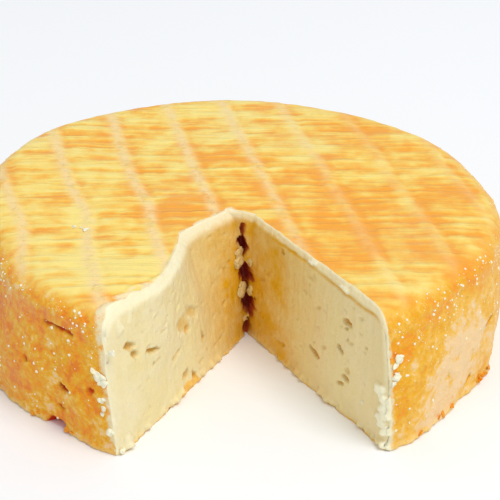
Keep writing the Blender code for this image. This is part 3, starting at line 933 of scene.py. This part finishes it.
def cheese_mesh(form):
    """The whole closed cheese: rind grid, cut grid, the seam between them, and the flat base as a fan."""
    turned = rind_grid(form)
    rind = shaped(form, turned)
    cuts, depth, amber, pale, foot, slit = cut_grid(form)
    rows, columns = rind.shape[:2]
    cut_rows, cut_columns = cuts.shape[:2]
    rind[-1, :, 2] = 0
    centre = np.array((form.apex[0], form.apex[1] + form.base_radius / 2, 0))
    points = np.vstack((rind.reshape(-1, 3), cuts.reshape(-1, 3), centre))
    rind_index = np.arange(rows * columns).reshape(rows, columns)
    cut_index = rows * columns + np.arange(cut_rows * cut_columns).reshape(cut_rows, cut_columns)
    ridge_top = TOP_ROWS + RIM_ROWS - 1
    side_columns = CUT_COLUMNS + RIM_ROWS
    chains = (
        (rind_index[:ridge_top - 1:-1, -1], cut_index[:, 0]),
        (rind_index[ridge_top::-1, -1], cut_index[-1, :side_columns]),
        (rind_index[0, ::-1], cut_index[-1, side_columns - 1:side_columns + APEX_COLUMNS + 1]),
        (rind_index[:ridge_top + 1, 0], cut_index[-1, side_columns + APEX_COLUMNS:]),
        (rind_index[ridge_top:, 0], cut_index[::-1, -1]),
    )
    seams = np.vstack([seam(points, first, second) for first, second in chains])
    loop = np.concatenate((rind_index[-1], cut_index[0]))
    middle = np.full(len(loop), len(points) - 1)
    base = np.column_stack((loop, np.roll(loop, -1), middle))
    mesh = make_mesh("cheese_body", points, (
        (grid_quads(rows, columns)[:, ::-1], 0),
        (base[:, ::-1], 0),
        (grid_quads(cut_rows, cut_columns, rows * columns), 1),
        (seams, 1),
    ))
    x, y, z = np.moveaxis(turned, -1, 0)
    band, groove, ridge = mat_marks(x, y)
    none = np.zeros(cuts.shape[:2])
    for name, over_rind, over_cuts in (
        ("depth", -beside_cuts(form, rind) * MM, depth),
        ("shade", patch_shade(rind), foot),
        ("pale", np.maximum(smeared(form, rind), FOLD_PALE * fold_rise(form, rind)), pale),
        # amber: painted shade of the cuts' inner corner, eyes and crack
        ("amber", x * 0, amber),
        # dark: painted shade in the flank's creases and pits, and in the torn slit
        ("dark", flank_hollows(np.arctan2(y, x), z) / CREASE_DEPTH, slit),
        ("band", band, none),
        ("drawn", 1 - ease(x, *MARKS_FADE), none),
        ("groove", groove, none),
        ("ridge", ridge, none),
        ("flank", ease(np.hypot(x, y), form.top_radius - form.rim_round, form.top_radius), none),
    ):
        add_attribute(mesh, name, np.concatenate((over_rind.ravel(), over_cuts.ravel(), (0,))))
    return mesh


class Signal:
    """A node's output that works in Python arithmetic: an expression on values adds Math nodes."""

    def __init__(self, socket):
        self.socket = socket
        self.tree = socket.id_data

    def math(self, operation, *others):
        """A Math node on this value and the others."""
        return add_node(self.tree, "ShaderNodeMath", {"operation": operation}, dict(enumerate((self, *others))))

    def __add__(self, other):
        return self.math("ADD", other)

    __radd__ = __add__

    def __sub__(self, other):
        return self.math("SUBTRACT", other)

    def __rsub__(self, other):
        return (self * -1).math("ADD", other)

    def __mul__(self, other):
        return self.math("MULTIPLY", other)

    __rmul__ = __mul__

    def clip(self):
        """Held between 0 and 1."""
        return self.math("MINIMUM", 1).math("MAXIMUM", 0)

    def step(self, low, high):
        """0 below low, 1 above high, and eased between; the other way round where low is the larger."""
        settings = {"interpolation_type": "SMOOTHSTEP"}
        if low > high:
            return 1 - self.step(high, low)
        return add_node(self.tree, "ShaderNodeMapRange", settings, {"Value": self, "From Min": low, "From Max": high})


def add_node(tree, kind, settings, inputs, output=0):
    """Add a node: its settings are set first, then its sockets get a value or a link."""
    node = tree.nodes.new(kind)
    for name, value in settings.items():
        if name == "stops":
            ramp = node.color_ramp
            for place, colour in value[1:-1]:
                ramp.elements.new(place).color = colour
            for element, (place, colour) in ((ramp.elements[0], value[0]), (ramp.elements[-1], value[-1])):
                element.position = place
                element.color = colour
        else:
            setattr(node, name, value)
    for name, value in inputs.items():
        if isinstance(value, Signal):
            tree.links.new(value.socket, node.inputs[name])
        else:
            node.inputs[name].default_value = value
    return Signal(node.outputs[output])


def blend(factor, first, second):
    """Colour from first to second as the factor goes from 0 to 1."""
    return add_node(factor.tree, "ShaderNodeMix", {"data_type": "RGBA"}, {0: factor, 6: first, 7: second}, 2)


def noise(vector, size, detail=3, roughness=0.5):
    """Noise from 0 to 1 with features of about this size in metres."""
    inputs = {"Vector": vector, "Scale": 1 / size, "Detail": detail, "Roughness": roughness}
    return add_node(vector.tree, "ShaderNodeTexNoise", {}, inputs)


def stretched(vector, turn, scale):
    """The vector for a pattern that is turned about Z and then this many times longer along each axis."""
    inputs = {"Vector": vector, "Rotation": (0, 0, turn), "Scale": scale}
    return add_node(vector.tree, "ShaderNodeMapping", {"vector_type": "TEXTURE"}, inputs)


def height_of(point):
    """Height above the floor in millimetres."""
    return MM * add_node(point.tree, "ShaderNodeSeparateXYZ", {}, {"Vector": point}, "Z")


def darkened(colour, share):
    """The colour times this share."""
    return [part * share for part in colour[:3]] + [1]


def start_material(name, **constants):
    """A new material: its tree, its shader with these constants, and the object's own coordinates."""
    material = bpy.data.materials.new(name)
    material.use_nodes = True
    tree = material.node_tree
    shader = tree.nodes["Principled BSDF"]
    for socket, value in constants.items():
        shader.inputs[socket.replace("_", " ")].default_value = value
    return material, shader, add_node(tree, "ShaderNodeTexCoord", {}, {}, "Object")


def attribute(point, name):
    """One of the mesh's own numbers."""
    return add_node(point.tree, "ShaderNodeAttribute", {"attribute_name": name}, {}, "Fac")


def feed(shader, point, values, bumps):
    """Link what varies to the shader, and a chain of bumps, each a height and its distance, to its normal."""
    for socket, value in values.items():
        point.tree.links.new(value.socket, shader.inputs[socket])
    normal = None
    for height, distance in bumps:
        inputs = {"Height": height, "Distance": distance, "Strength": 1}
        if normal:
            inputs["Normal"] = normal
        normal = add_node(point.tree, "ShaderNodeBump", {}, inputs)
    point.tree.links.new(normal.socket, shader.inputs["Normal"])


def rind_material(colours):
    """Moist washed rind: pale streaks and bands on a golden top, and a grainy flank of ochre and orange, with painted
    highlight and shade in the top's relief, patches and creases.
    """
    material, shader, point = start_material(
        "washed_rind", IOR=1.40, Specular_IOR_Level=0.30, Coat_Roughness=0.20, Subsurface_Weight=0.10,
        Subsurface_Radius=(1, 0.55, 0.20), Subsurface_Scale=0.0012,
    )
    flank = attribute(point, "flank")
    shade = attribute(point, "shade")
    broad = noise(point, 0.030, 2)
    patch = noise(point, 0.010, 3, 0.55)
    mottle = noise(point, 0.0042, 3, 0.55)
    fine = noise(point, 0.0018, 4, 0.65)
    grain = noise(point, 0.0007, 3, 0.6)
    drawn = attribute(point, "drawn")
    streaks = noise(stretched(point, RIDGE_TURN, (5.5, 1, 1)), 0.0042, 2, 0.5)
    threads = noise(stretched(point, RIDGE_TURN, (12, 1, 1)), 0.0015, 2, 0.5)
    # Paler on ridges and streaks, deeper orange in the grooves and dark lines: partly the rind's own colour, partly
    # painted highlight and shade of the mat's relief
    lines = streaks.step(0.45, 0.36) + 0.3 * threads.step(0.42, 0.32)
    band = attribute(point, "band")
    tone = 0.49 + 0.10 * attribute(point, "ridge") + (1.4 * (streaks - 0.5) + 0.6 * (threads - 0.5) - 0.10 * lines) * (
        0.55 + 0.45 * drawn) * (1 - 0.75 * band)
    tone = tone + 0.9 * (broad - 0.5) + 1.7 * (patch - 0.5) + 0.8 * shade - 0.16 * attribute(point, "groove")
    gold = add_node(point.tree, "ShaderNodeValToRGB", {"stops": (
        (0.10, colours.rind_orange),
        (0.38, colours.rind_gold),
        (0.60, colours.rind_yellow),
        (0.86, colours.rind_pale),
    )}, {"Fac": tone})
    band = band * (0.25 + 0.65 * drawn) * (0.90 + 3 * (mottle - 0.5) + 2 * (fine - 0.5)).clip()
    gold = blend(band, gold, colours.band_peach)
    grains = 1.6 * (patch - 0.5) + 1.4 * (mottle - 0.5) + 1.5 * (fine - 0.5)
    # The patches pale the right flank and deepen the left, and drawn deepens the left a little more: partly painted
    # light and painted shade
    tone = 0.55 - 0.01 * drawn + grains * (0.62 + 0.50 * drawn) + 0.9 * shade
    ochre = add_node(point.tree, "ShaderNodeValToRGB", {"stops": (
        (0.05, colours.flank_rust),
        (0.32, colours.flank_orange),
        (0.55, colours.flank_ochre),
        (0.78, colours.flank_gold),
        (1.00, colours.flank_pale),
    )}, {"Fac": tone})
    rust = noise(stretched(point, 0, (1, 1, 2.2)), 0.0040, 3, 0.6).step(0.56, 0.72)
    ochre = blend(0.58 * drawn * rust * (0.6 - shade).clip(), ochre, colours.flank_rust)
    veins = noise(stretched(point, 0, (1, 1, 3)), 0.0030, 2, 0.5)
    veins = (veins - 0.5).math("ABSOLUTE").step(0.022, 0.004) * fine.step(0.42, 0.60)
    ochre = blend(0.25 * veins, ochre, colours.flank_gold)
    low = (height_of(point) + 8 * (mottle - 0.5)).step(2.6, 0.6)
    ochre = blend(0.60 * low, ochre, colours.flank_lip)
    colour = blend(flank, gold, ochre)
    dust = grain.step(0.57, 0.66) * fine.step(0.46, 0.58)
    colour = blend(0.24 * dust * flank, colour, colours.speck_white)
    torn = noise(point, 0.0034, 4, 0.65)
    smear = (attribute(point, "pale") * (1.2 + 6 * (torn - 0.5))).step(0.12, 0.75)
    colour = blend(0.85 * smear, colour, colours.paste_cream)
    dark = attribute(point, "dark")
    # Painted shade in the creases and pits, deepest in the middle
    colour = blend(dark.step(0, 0.8), colour, colours.crease_shade_brown)
    rough = 0.38 + 0.30 * (patch - 0.5) + 0.05 * flank + 0.30 * dark
    rim = height_of(point).step(33, 40) * flank
    wet = (0.14 + 1.5 * (broad - 0.5) - 0.15 * shade + 0.22 * rim - dark).clip()
    feed(shader, point, {"Base Color": colour, "Roughness": rough, "Coat Weight": wet}, (
        (streaks * (1 - flank) * (1 - 0.8 * band), 0.0011),
        (threads * (1 - flank), 0.00040),
        (mottle * flank, 0.0007),
        (fine * (0.25 + 0.75 * flank), 0.0006),
        (grain * (0.25 + 0.75 * flank), 0.00018),
    ))
    return material


def paste_material(colours):
    """Soft paste: ivory with cream clouds, amber of painted shade towards the inner corner, rind showing at the foot,
    painted shade in the torn slit, dull gloss.
    """
    material, shader, point = start_material(
        "ivory_paste", IOR=1.42, Specular_IOR_Level=0.35, Coat_Roughness=0.30, Subsurface_Weight=0.15,
        Subsurface_Radius=(1, 0.80, 0.45), Subsurface_Scale=0.0015,
    )
    depth = attribute(point, "depth")
    dark = attribute(point, "dark")
    cloud = noise(point, 0.014, 3, 0.5)
    curd = noise(point, 0.0032, 3, 0.6)
    drag = noise(stretched(point, 0, (1, 1, 8)), 0.0022, 3, 0.5)
    grain = noise(point, 0.0009, 3, 0.6)
    tone = 0.5 + 1.7 * (cloud - 0.5) + 0.30 * (drag - 0.5) + 0.9 * (curd - 0.5)
    colour = blend(tone.clip(), colours.paste_ivory, colours.paste_cream)
    # Amber towards the inner corner, in the eyes and in the crack is painted shade
    amber = attribute(point, "amber") * (0.85 + 1.6 * (cloud - 0.5) + 0.8 * (curd - 0.5))
    colour = blend(amber.clip(), colour, colours.paste_shade_amber)
    skin = (depth + 2 * (curd - 0.5)).step(1.7, 0.4)
    colour = blend(0.55 * skin, colour, colours.paste_cream)
    lip = (height_of(point) + 3 * (curd - 0.5)).step(2, 0.8)
    colour = blend(0.40 * lip, colour, colours.flank_lip)
    scorched = blend(noise(point, 0.0016, 3, 0.6).step(0.40, 0.60), colours.flank_gold, colours.flank_ochre)
    colour = blend(0.80 * attribute(point, "shade"), colour, scorched)
    colour = blend(0.85 * attribute(point, "pale"), colour, colours.crumb_white)
    # The torn slit's red and brown are painted shade, darkest in its depth
    colour = blend(dark.step(0.05, 0.50), colour, colours.slit_shade_red)
    colour = blend(dark.step(0.50, 1), colour, colours.slit_shade_brown)
    feed(shader, point, {
        "Base Color": colour,
        "Roughness": 0.50 + 0.25 * (curd - 0.5),
        "Coat Weight": (0.10 + 0.6 * (cloud - 0.5)).clip(),
    }, (
        (drag, 0.0004),
        (curd, 0.0005),
        (grain, 0.00012),
    ))
    return material


def grain_material(name, colours, colour, size, depth):
    """One colour that is a little darker in grains of this size, with a bump, and amber near the inner corner as
    painted shade.
    """
    material, shader, point = start_material(
        name, Specular_IOR_Level=0.35, Subsurface_Weight=0.2,
        Subsurface_Radius=(1, 0.85, 0.6), Subsurface_Scale=0.0005,
    )
    grains = noise(point, size, 3, 0.6)
    tinted = blend(grains.step(0.3, 0.6), darkened(colour, 0.88), colour)
    feed(shader, point, {
        # Amber near the inner corner is painted shade
        "Base Color": blend(attribute(point, "amber"), tinted, colours.crumb_shade_amber),
        "Roughness": 0.50 + 0.2 * (grains - 0.5),
    }, ((grains, depth),))
    return material


def ball(columns, rows):
    """A closed unit ball: points in rings between two poles, with triangles at the poles and quads between."""
    height = np.linspace(-pi / 2, pi / 2, rows + 1)[1:-1]
    turn = np.linspace(0, 2 * pi, columns, endpoint=False)
    rings = polar(np.cos(height)[:, None], turn, np.sin(height)[:, None]).reshape(-1, 3)
    points = np.vstack((rings, (0, 0, -1), (0, 0, 1)))
    index = np.arange(len(rings)).reshape(rows - 1, columns)
    after = np.roll(index, -1, axis=1)
    quads = np.stack((index[:-1], after[:-1], after[1:], index[1:]), axis=-1).reshape(-1, 4)
    low = np.column_stack((after[0], index[0], np.full(columns, len(rings))))
    high = np.column_stack((index[-1], after[-1], np.full(columns, len(rings) + 1)))
    return points, (quads, low, high)


def grain_mesh(form, name, places, axes, radii, lumps, seed, counts):
    """Many lumpy balls as one mesh: each ball's points times its radii, turned to its axes, moved to its place.

    Balls that would reach out of the solid's box are left out. Points keep how near the inner corner they are.
    """
    template, groups = ball(*counts)
    shift = np.random.default_rng(seed).uniform(-9, 9, (len(places), 1, 3))
    lumpy = template * (1 + lumps * wander(template * LUMP_RATE + shift, 1, seed))[..., None]
    points = places[:, None] + np.einsum("nvi,nij->nvj", lumpy * radii[:, None], axes)
    low, high = (np.array(corner) for corner in CAD_BOX)
    placed = points + AXIS_PLACE
    points = points[((placed > low) & (placed < high)).all(axis=(1, 2))]
    first = (np.arange(len(points)) * len(template))[:, None, None]
    points = points.reshape(-1, 3)
    mesh = make_mesh(name, points, [((group + first).reshape(-1, group.shape[1]), 0) for group in groups])
    near = np.linalg.norm(points[:, :2] - np.array(form.apex), axis=1)
    add_attribute(mesh, "amber", 1 - ease(near, *CRUMB_SHADE_REACH))
    return mesh


def spin(random, outward):
    """Axes for each row: two random directions across the outward one, and the outward one."""
    guess = random.normal(size=outward.shape)
    first = np.cross(outward, guess)
    first /= np.linalg.norm(first, axis=1)[:, None]
    return np.stack((first, np.cross(outward, first), outward), axis=1)


def flank_radius(form, height):
    """The turned wheel's radius at these heights, below its flat top."""
    radius, level = lower_profile(form)
    return np.interp(height, level[::-1], radius[::-1])


def rind_places(form, radius, angle, height):
    """Points of the shaped rind and the level directions out of it, across the line between their neighbours."""
    turns = (-NEIGHBOUR_TURN, 0, NEIGHBOUR_TURN)
    before, points, after = (shaped(form, polar(radius, angle + turn, height)) for turn in turns)
    outward = np.cross(after - before, (0, 0, 1))
    return points, outward / np.linalg.norm(outward, axis=1)[:, None]


def cut_places(form, side, along, height):
    """Points of a cut's surface and the directions out of it."""
    _, back = cut_frame(form, side)
    points = cut_points(form, along, height, side)
    return points, np.broadcast_to(-back, points.shape)


def crumb_rows(form):
    """Places, outward directions and radii of the crumbs that show: on the flank, the cuts and the top."""
    degrees, height, size = FLANK_CRUMBS.T
    rows = [(*rind_places(form, flank_radius(form, height), np.radians(degrees), height), size)]
    for wanted in (-1, 1):
        along, height, size = CUT_CRUMBS[CUT_CRUMBS[:, 0] == wanted, 1:].T
        rows.append((*cut_places(form, wanted, along, height), size))
    x, y, size = TOP_CRUMBS.T
    level = shaped(form, stacked(x, y, form.height))
    rows.append((level, np.tile((0, 0, 1), (len(x), 1)), size))
    return [np.concatenate(parts) for parts in zip(*rows)]


def crumb_mesh(form):
    """Crumbs of paste: clusters of lumpy balls about each place, all sunk a little into what they lie on."""
    places, outward, sizes = crumb_rows(form)
    random = np.random.default_rng(CRUMB_SEED)
    each = np.repeat(np.arange(len(places)), CRUMB_LUMPS)
    first = np.tile(np.arange(CRUMB_LUMPS) == 0, len(places))
    axes = spin(random, outward[each])
    share = np.where(first, 1, random.uniform(*CRUMB_SHARES, len(each)))
    away = random.normal(size=(len(each), 2)) * np.where(first, 0, CRUMB_SPREAD)[:, None] * sizes[each, None]
    centres = places[each] + np.einsum("ni,nij->nj", away, axes[:, :2])
    radii = random.uniform(*CRUMB_RADII, (len(each), 3))
    radii *= (sizes[each] * share)[:, None]
    centres += outward[each] * radii[:, 2:] * CRUMB_OUT
    return grain_mesh(form, "paste_crumbs", centres, axes, radii, 0.42, CRUMB_SEED, (18, 12))


def speck_mesh(form):
    """White specks: small domes on the flank, most of them in the band under the rim."""
    random = np.random.default_rng(SPECK_SEED)
    count = sum(SPECK_COUNTS)
    angle = random.uniform(-pi, pi, count)
    strays = random.random(count) < SPECK_STRAYS[0]
    far = random.uniform(0, SPECK_STRAYS[1], count)
    drop = np.where(strays, far, np.abs(random.normal(0, SPECK_DROP, count)))
    height = np.clip(form.height - drop - SPECK_LIMITS[0], SPECK_LIMITS[1], None)
    fall = np.clip(1 - (form.height - height) / form.rim_round, 0, 1)
    radius = flank_radius(form, height)
    clump = wander(polar(radius, angle, height), SPECK_CLUMP, SPECK_SEED)
    keep = (clump > random.uniform(-0.6, 0.5, count)) & off_cuts(form, angle)
    places, outward = rind_places(form, radius[keep], angle[keep], height[keep])
    outward[:, 2] = fall[keep]
    outward /= np.linalg.norm(outward, axis=1)[:, None]
    size = np.concatenate([random.uniform(*radii, part) for part, radii in zip(SPECK_COUNTS, SPECK_RADII)])[keep]
    radii = size[:, None] * random.uniform((0.8, 0.8, 0.6), (1.1, 1.1, 0.8), (len(places), 3))
    return grain_mesh(form, "rind_specks", places, spin(random, outward), radii, 0.2, SPECK_SEED, (8, 5))


def chip_mesh(form):
    """Chips of rind that stand off the foot: flat lumpy discs in loose rows."""
    random = np.random.default_rng(CHIP_SEED)
    angle = np.concatenate([random.normal(place, spread, count) for place, spread, count in CHIPS])
    angle = np.radians((angle + 180) % 360 - 180)
    angle = angle[off_cuts(form, angle)]
    height = random.uniform(*CHIP_HEIGHTS, len(angle))
    places, outward = rind_places(form, flank_radius(form, height), angle, height)
    axes = spin(random, outward + random.normal(0, 0.5, outward.shape))
    axes /= np.linalg.norm(axes, axis=2)[:, :, None]
    radii = np.array(CHIP_SIZE) * random.uniform(0.6, 1.4, (len(angle), 3))
    return grain_mesh(form, "rind_flakes", places, axes, radii, 0.35, CHIP_SEED, (12, 7))


def off_cuts(form, angle):
    """Which directions lie on the rind and not in the cut-out wedge."""
    corners = {side: edge_column(form, lower_profile(form), side, EDGE_BACK)[:, :2] for side in (1, -1)}
    right = np.arctan2(corners[1][:, 1], corners[1][:, 0]).max()
    left = np.arctan2(corners[-1][:, 1], corners[-1][:, 0]).min()
    return (angle > right) | (angle < left)


def a_length(name, description, default):
    """A length that a user can change."""
    return FloatProperty(name=name, description=description, default=default, unit="LENGTH")


def an_angle(name, description, degrees):
    """An angle that a user can change."""
    return FloatProperty(name=name, description=description, default=radians(degrees), subtype="ANGLE")


class CheeseForm(bpy.types.PropertyGroup):
    """Sizes of the wheel and of its cut."""

    height: a_length("Height", "From base to top", 0.0460)
    top_radius: a_length("Top radius", "Just under the rim", 0.0880)
    base_radius: a_length("Base radius", "Just above the base", 0.0900)
    rim_round: a_length("Rim rounding", "Radius of the top edge", 0.0060)
    base_round: a_length("Base rounding", "Radius of the foot edge", 0.0016)
    bulge: a_length("Flank bulge", "Swell at mid height", 0.0012)
    shoulder_width: a_length("Shoulder width", "Where the top begins to fall off", 0.0140)
    shoulder_drop: a_length("Shoulder drop", "How far the top falls at its edge", 0.0012)
    apex: FloatVectorProperty(
        name="Inner corner", description="Where both cuts meet, from the axis", size=2,
        default=(0.0039, -0.0163), subtype="XYZ_LENGTH")
    left_cut: an_angle("Left cut", "Angle of the left cut from the front", 28.7)
    right_cut: an_angle("Right cut", "Angle of the right cut from the front", 34.55)


def a_colour(name, description, default):
    """A colour that a user can change."""
    return FloatVectorProperty(
        name=name, description=description, size=4, default=(*default, 1), subtype="COLOR", min=0, max=1)


class CheeseColours(bpy.types.PropertyGroup):
    """Colours of rind and paste."""

    # The top's ramp from orange to pale also carries painted shade in the grooves and painted highlights on ridges,
    # streaks and pale patches
    rind_orange: a_colour("Top orange", "Grooves and deep patches of the top", (0.93, 0.40, 0.045))
    rind_gold: a_colour("Top gold", "Most of the top", (0.94, 0.545, 0.090))
    rind_yellow: a_colour("Top yellow", "Streaks of the top", (0.95, 0.67, 0.155))
    rind_pale: a_colour("Top pale", "Brightest streaks", (0.96, 0.765, 0.235))
    band_peach: a_colour("Band peach", "Flat bands of the top", (0.95, 0.70, 0.33))
    flank_rust: a_colour("Flank rust", "Darkest grains of the flank", (0.86, 0.24, 0.006))
    flank_orange: a_colour("Flank orange", "Moist grains of the flank", (0.91, 0.34, 0.005))
    flank_ochre: a_colour("Flank ochre", "Most of the flank", (0.87, 0.425, 0.008))
    flank_gold: a_colour("Flank gold", "Lighter grains of the flank", (0.93, 0.52, 0.060))
    # Pale patches, mostly on the right flank, partly painted light
    flank_pale: a_colour("Flank pale", "Dry pale patches of the flank", (0.93, 0.64, 0.32))
    flank_lip: a_colour("Foot lip", "Pale lip along the foot", (0.93, 0.65, 0.22))
    # Painted shade of the flank's creases and pits
    crease_shade_brown: a_colour("Crease brown", "Inside of the flank's creases", (0.60, 0.030, 0.001))
    speck_white: a_colour("White specks", "Salt and yeast on the flank", (1, 0.95, 0.74))
    crumb_white: a_colour("Crumb white", "Crumbs and flakes of paste", (1, 0.95, 0.70))
    # Painted shade of crumbs in the inner corner
    crumb_shade_amber: a_colour("Crumb amber", "Crumbs in the inner corner", (0.76, 0.54, 0.20))
    paste_cream: a_colour("Paste cream", "Lightest paste", (0.89, 0.79, 0.51))
    paste_ivory: a_colour("Paste ivory", "Most of the paste", (0.85, 0.71, 0.34))
    # Painted shade of the paste towards the inner corner
    paste_shade_amber: a_colour("Paste amber", "Moist paste of the inner corner", (0.75, 0.39, 0.008))
    # Painted shade of the torn slit, at its mouth and in its depth
    slit_shade_red: a_colour("Slit red", "Mouth of the torn slit", (0.55, 0.11, 0.018))
    slit_shade_brown: a_colour("Slit brown", "Depth of the torn slit", (0.26, 0.020, 0.010))


class CheeseStage(bpy.types.PropertyGroup):
    """Floor, light and camera."""

    floor: a_colour("Floor", "Colour of the floor", (0.945, 0.958, 0.975))
    floor_side: a_length("Floor side", "Length of the square floor", 4)
    sky: FloatProperty(name="Sky", description="Strength of the light from all round", default=0.60, min=0)
    key: FloatProperty(name="Key light", description="Power of the soft light", default=37, unit="POWER")
    key_place: FloatVectorProperty(
        name="Key place", description="Middle of the soft light", default=(0.83, -0.78, 2.34), subtype="XYZ_LENGTH")
    key_side: a_length("Key side", "Side of the soft light", 1.40)
    camera_place: FloatVectorProperty(
        name="Camera place", description="Where the camera stands", default=(0.00413, -0.36391, 0.23003),
        subtype="XYZ_LENGTH")
    pitch: an_angle("Pitch", "How far the camera looks down", 29.75)
    roll: an_angle("Roll", "Turn about the view line", 1.48)
    lens: FloatProperty(name="Lens", description="Focal length in millimetres", default=86.4, min=1)


def add_grains(context, name, build, material, colour, size, depth):
    """Add a piece of loose grains in one of the colours, with grain of this size and depth."""
    colours = context.scene.cheese_colours
    material = grain_material(material, colours, getattr(colours, colour), size, depth)
    add_piece(name, build(context.scene.cheese_form), (material,))


class CHEESE_OT_body(bpy.types.Operator):
    """Build the cheese with its cut"""

    bl_idname = "cheese.body"
    bl_label = "Cheese"

    def execute(self, context):
        colours = context.scene.cheese_colours
        mesh = cheese_mesh(context.scene.cheese_form)
        piece = add_piece("cheese_body", mesh, (rind_material(colours), paste_material(colours)))
        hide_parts(NODE)
        return {"FINISHED"}


class CHEESE_OT_crumbs(bpy.types.Operator):
    """Strew crumbs of paste over cuts, flank and top"""

    bl_idname = "cheese.crumbs"
    bl_label = "Crumbs"

    def execute(self, context):
        add_grains(context, "paste_crumbs", crumb_mesh, "crumb_paste", "crumb_white", 0.0012, 0.0006)
        return {"FINISHED"}


class CHEESE_OT_specks(bpy.types.Operator):
    """Strew white specks over the flank"""

    bl_idname = "cheese.specks"
    bl_label = "Specks"

    def execute(self, context):
        add_grains(context, "rind_specks", speck_mesh, "white_specks", "speck_white", 0.0006, 0.0001)
        return {"FINISHED"}


class CHEESE_OT_flakes(bpy.types.Operator):
    """Set chips of rind along the foot"""

    bl_idname = "cheese.flakes"
    bl_label = "Rind flakes"

    def execute(self, context):
        add_grains(context, "rind_flakes", chip_mesh, "rind_chips", "flank_orange", 0.0008, 0.0003)
        return {"FINISHED"}


class CHEESE_OT_stage(bpy.types.Operator):
    """Lay the floor and set up light and camera"""

    bl_idname = "cheese.stage"
    bl_label = "Stage"

    def execute(self, context):
        stage = context.scene.cheese_stage
        self.lay_floor(stage)
        self.hang_lights(context.scene, stage)
        self.place_camera(context.scene, stage)
        return {"FINISHED"}

    def lay_floor(self, stage):
        """A flat square under the cheese."""
        half = stage.floor_side / 2
        corners = np.array(((-half, -half, 0), (half, -half, 0), (half, half, 0), (-half, half, 0)))
        mesh = make_mesh("floor", corners, ((np.array(((0, 1, 2, 3),)), 0),))
        material, shader, point = start_material("floor_paper")
        shade = noise(point, 0.5, 2)
        feed(shader, point, {
            "Base Color": blend(shade, darkened(stage.floor, 0.99), stage.floor),
            "Roughness": 0.75 + 0.1 * (shade - 0.5),
        }, ((noise(point, 0.002, 2), 0.00001),))
        mesh.materials.append(material)
        floor = bpy.data.objects.new("floor", mesh)
        bpy.context.scene.collection.objects.link(floor)
        floor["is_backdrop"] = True

    def hang_lights(self, scene, stage):
        """White light from all round, and one large soft light."""
        world = bpy.data.worlds.new("studio")
        world.use_nodes = True
        sky = world.node_tree.nodes["Background"]
        sky.inputs["Color"].default_value = (0.97, 0.985, 1, 1)
        sky.inputs["Strength"].default_value = stage.sky
        scene.world = world
        lamp = bpy.data.lights.new("key", "AREA")
        lamp.size = stage.key_side
        lamp.energy = stage.key
        light = bpy.data.objects.new("key", lamp)
        light.location = stage.key_place
        light.rotation_euler = (-Vector(stage.key_place)).to_track_quat("-Z", "Y").to_euler()
        scene.collection.objects.link(light)

    def place_camera(self, scene, stage):
        """A camera that looks along +Y and down by the pitch, turned by the roll."""
        view = bpy.data.cameras.new("camera")
        view.lens = stage.lens
        camera = bpy.data.objects.new("camera", view)
        tilt = Matrix.Rotation(pi / 2 - stage.pitch, 4, "X") @ Matrix.Rotation(stage.roll, 4, "Z")
        camera.matrix_world = Matrix.Translation(stage.camera_place) @ tilt
        scene.collection.objects.link(camera)
        scene.camera = camera
        scene.view_settings.view_transform = "Standard"


class CHEESE_PT_panel(bpy.types.Panel):
    """Sizes, colours and pieces of the cheese"""

    bl_idname = "CHEESE_PT_panel"
    bl_label = "Cheese"
    bl_space_type = "VIEW_3D"
    bl_region_type = "UI"
    bl_category = "Cheese"

    def draw(self, context):
        for settings in (context.scene.cheese_form, context.scene.cheese_colours, context.scene.cheese_stage):
            for name in settings.__annotations__:
                self.layout.prop(settings, name)
        for operator in OPERATORS:
            self.layout.operator(operator.bl_idname)


SETTINGS = (("cheese_form", CheeseForm), ("cheese_colours", CheeseColours), ("cheese_stage", CheeseStage))
OPERATORS = (CHEESE_OT_body, CHEESE_OT_crumbs, CHEESE_OT_specks, CHEESE_OT_flakes, CHEESE_OT_stage)


def register():
    """Register the settings, the operators and the panel."""
    for name, group in SETTINGS:
        bpy.utils.register_class(group)
        setattr(bpy.types.Scene, name, PointerProperty(type=group))
    for kind in (*OPERATORS, CHEESE_PT_panel):
        bpy.utils.register_class(kind)


def unregister():
    """Remove what register added."""
    for kind in (CHEESE_PT_panel, *reversed(OPERATORS)):
        bpy.utils.unregister_class(kind)
    for name, group in reversed(SETTINGS):
        delattr(bpy.types.Scene, name)
        bpy.utils.unregister_class(group)


def main():
    """Build every piece."""
    register()
    bpy.ops.cheese.body()
    bpy.ops.cheese.crumbs()
    bpy.ops.cheese.specks()
    bpy.ops.cheese.flakes()
    bpy.ops.cheese.stage()
    boxes = {"cad": CAD_BOX, "visual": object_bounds()}
    {name: [list(corner) for corner in box] for name, box in boxes.items()}


if __name__ == "__main__":
    main()
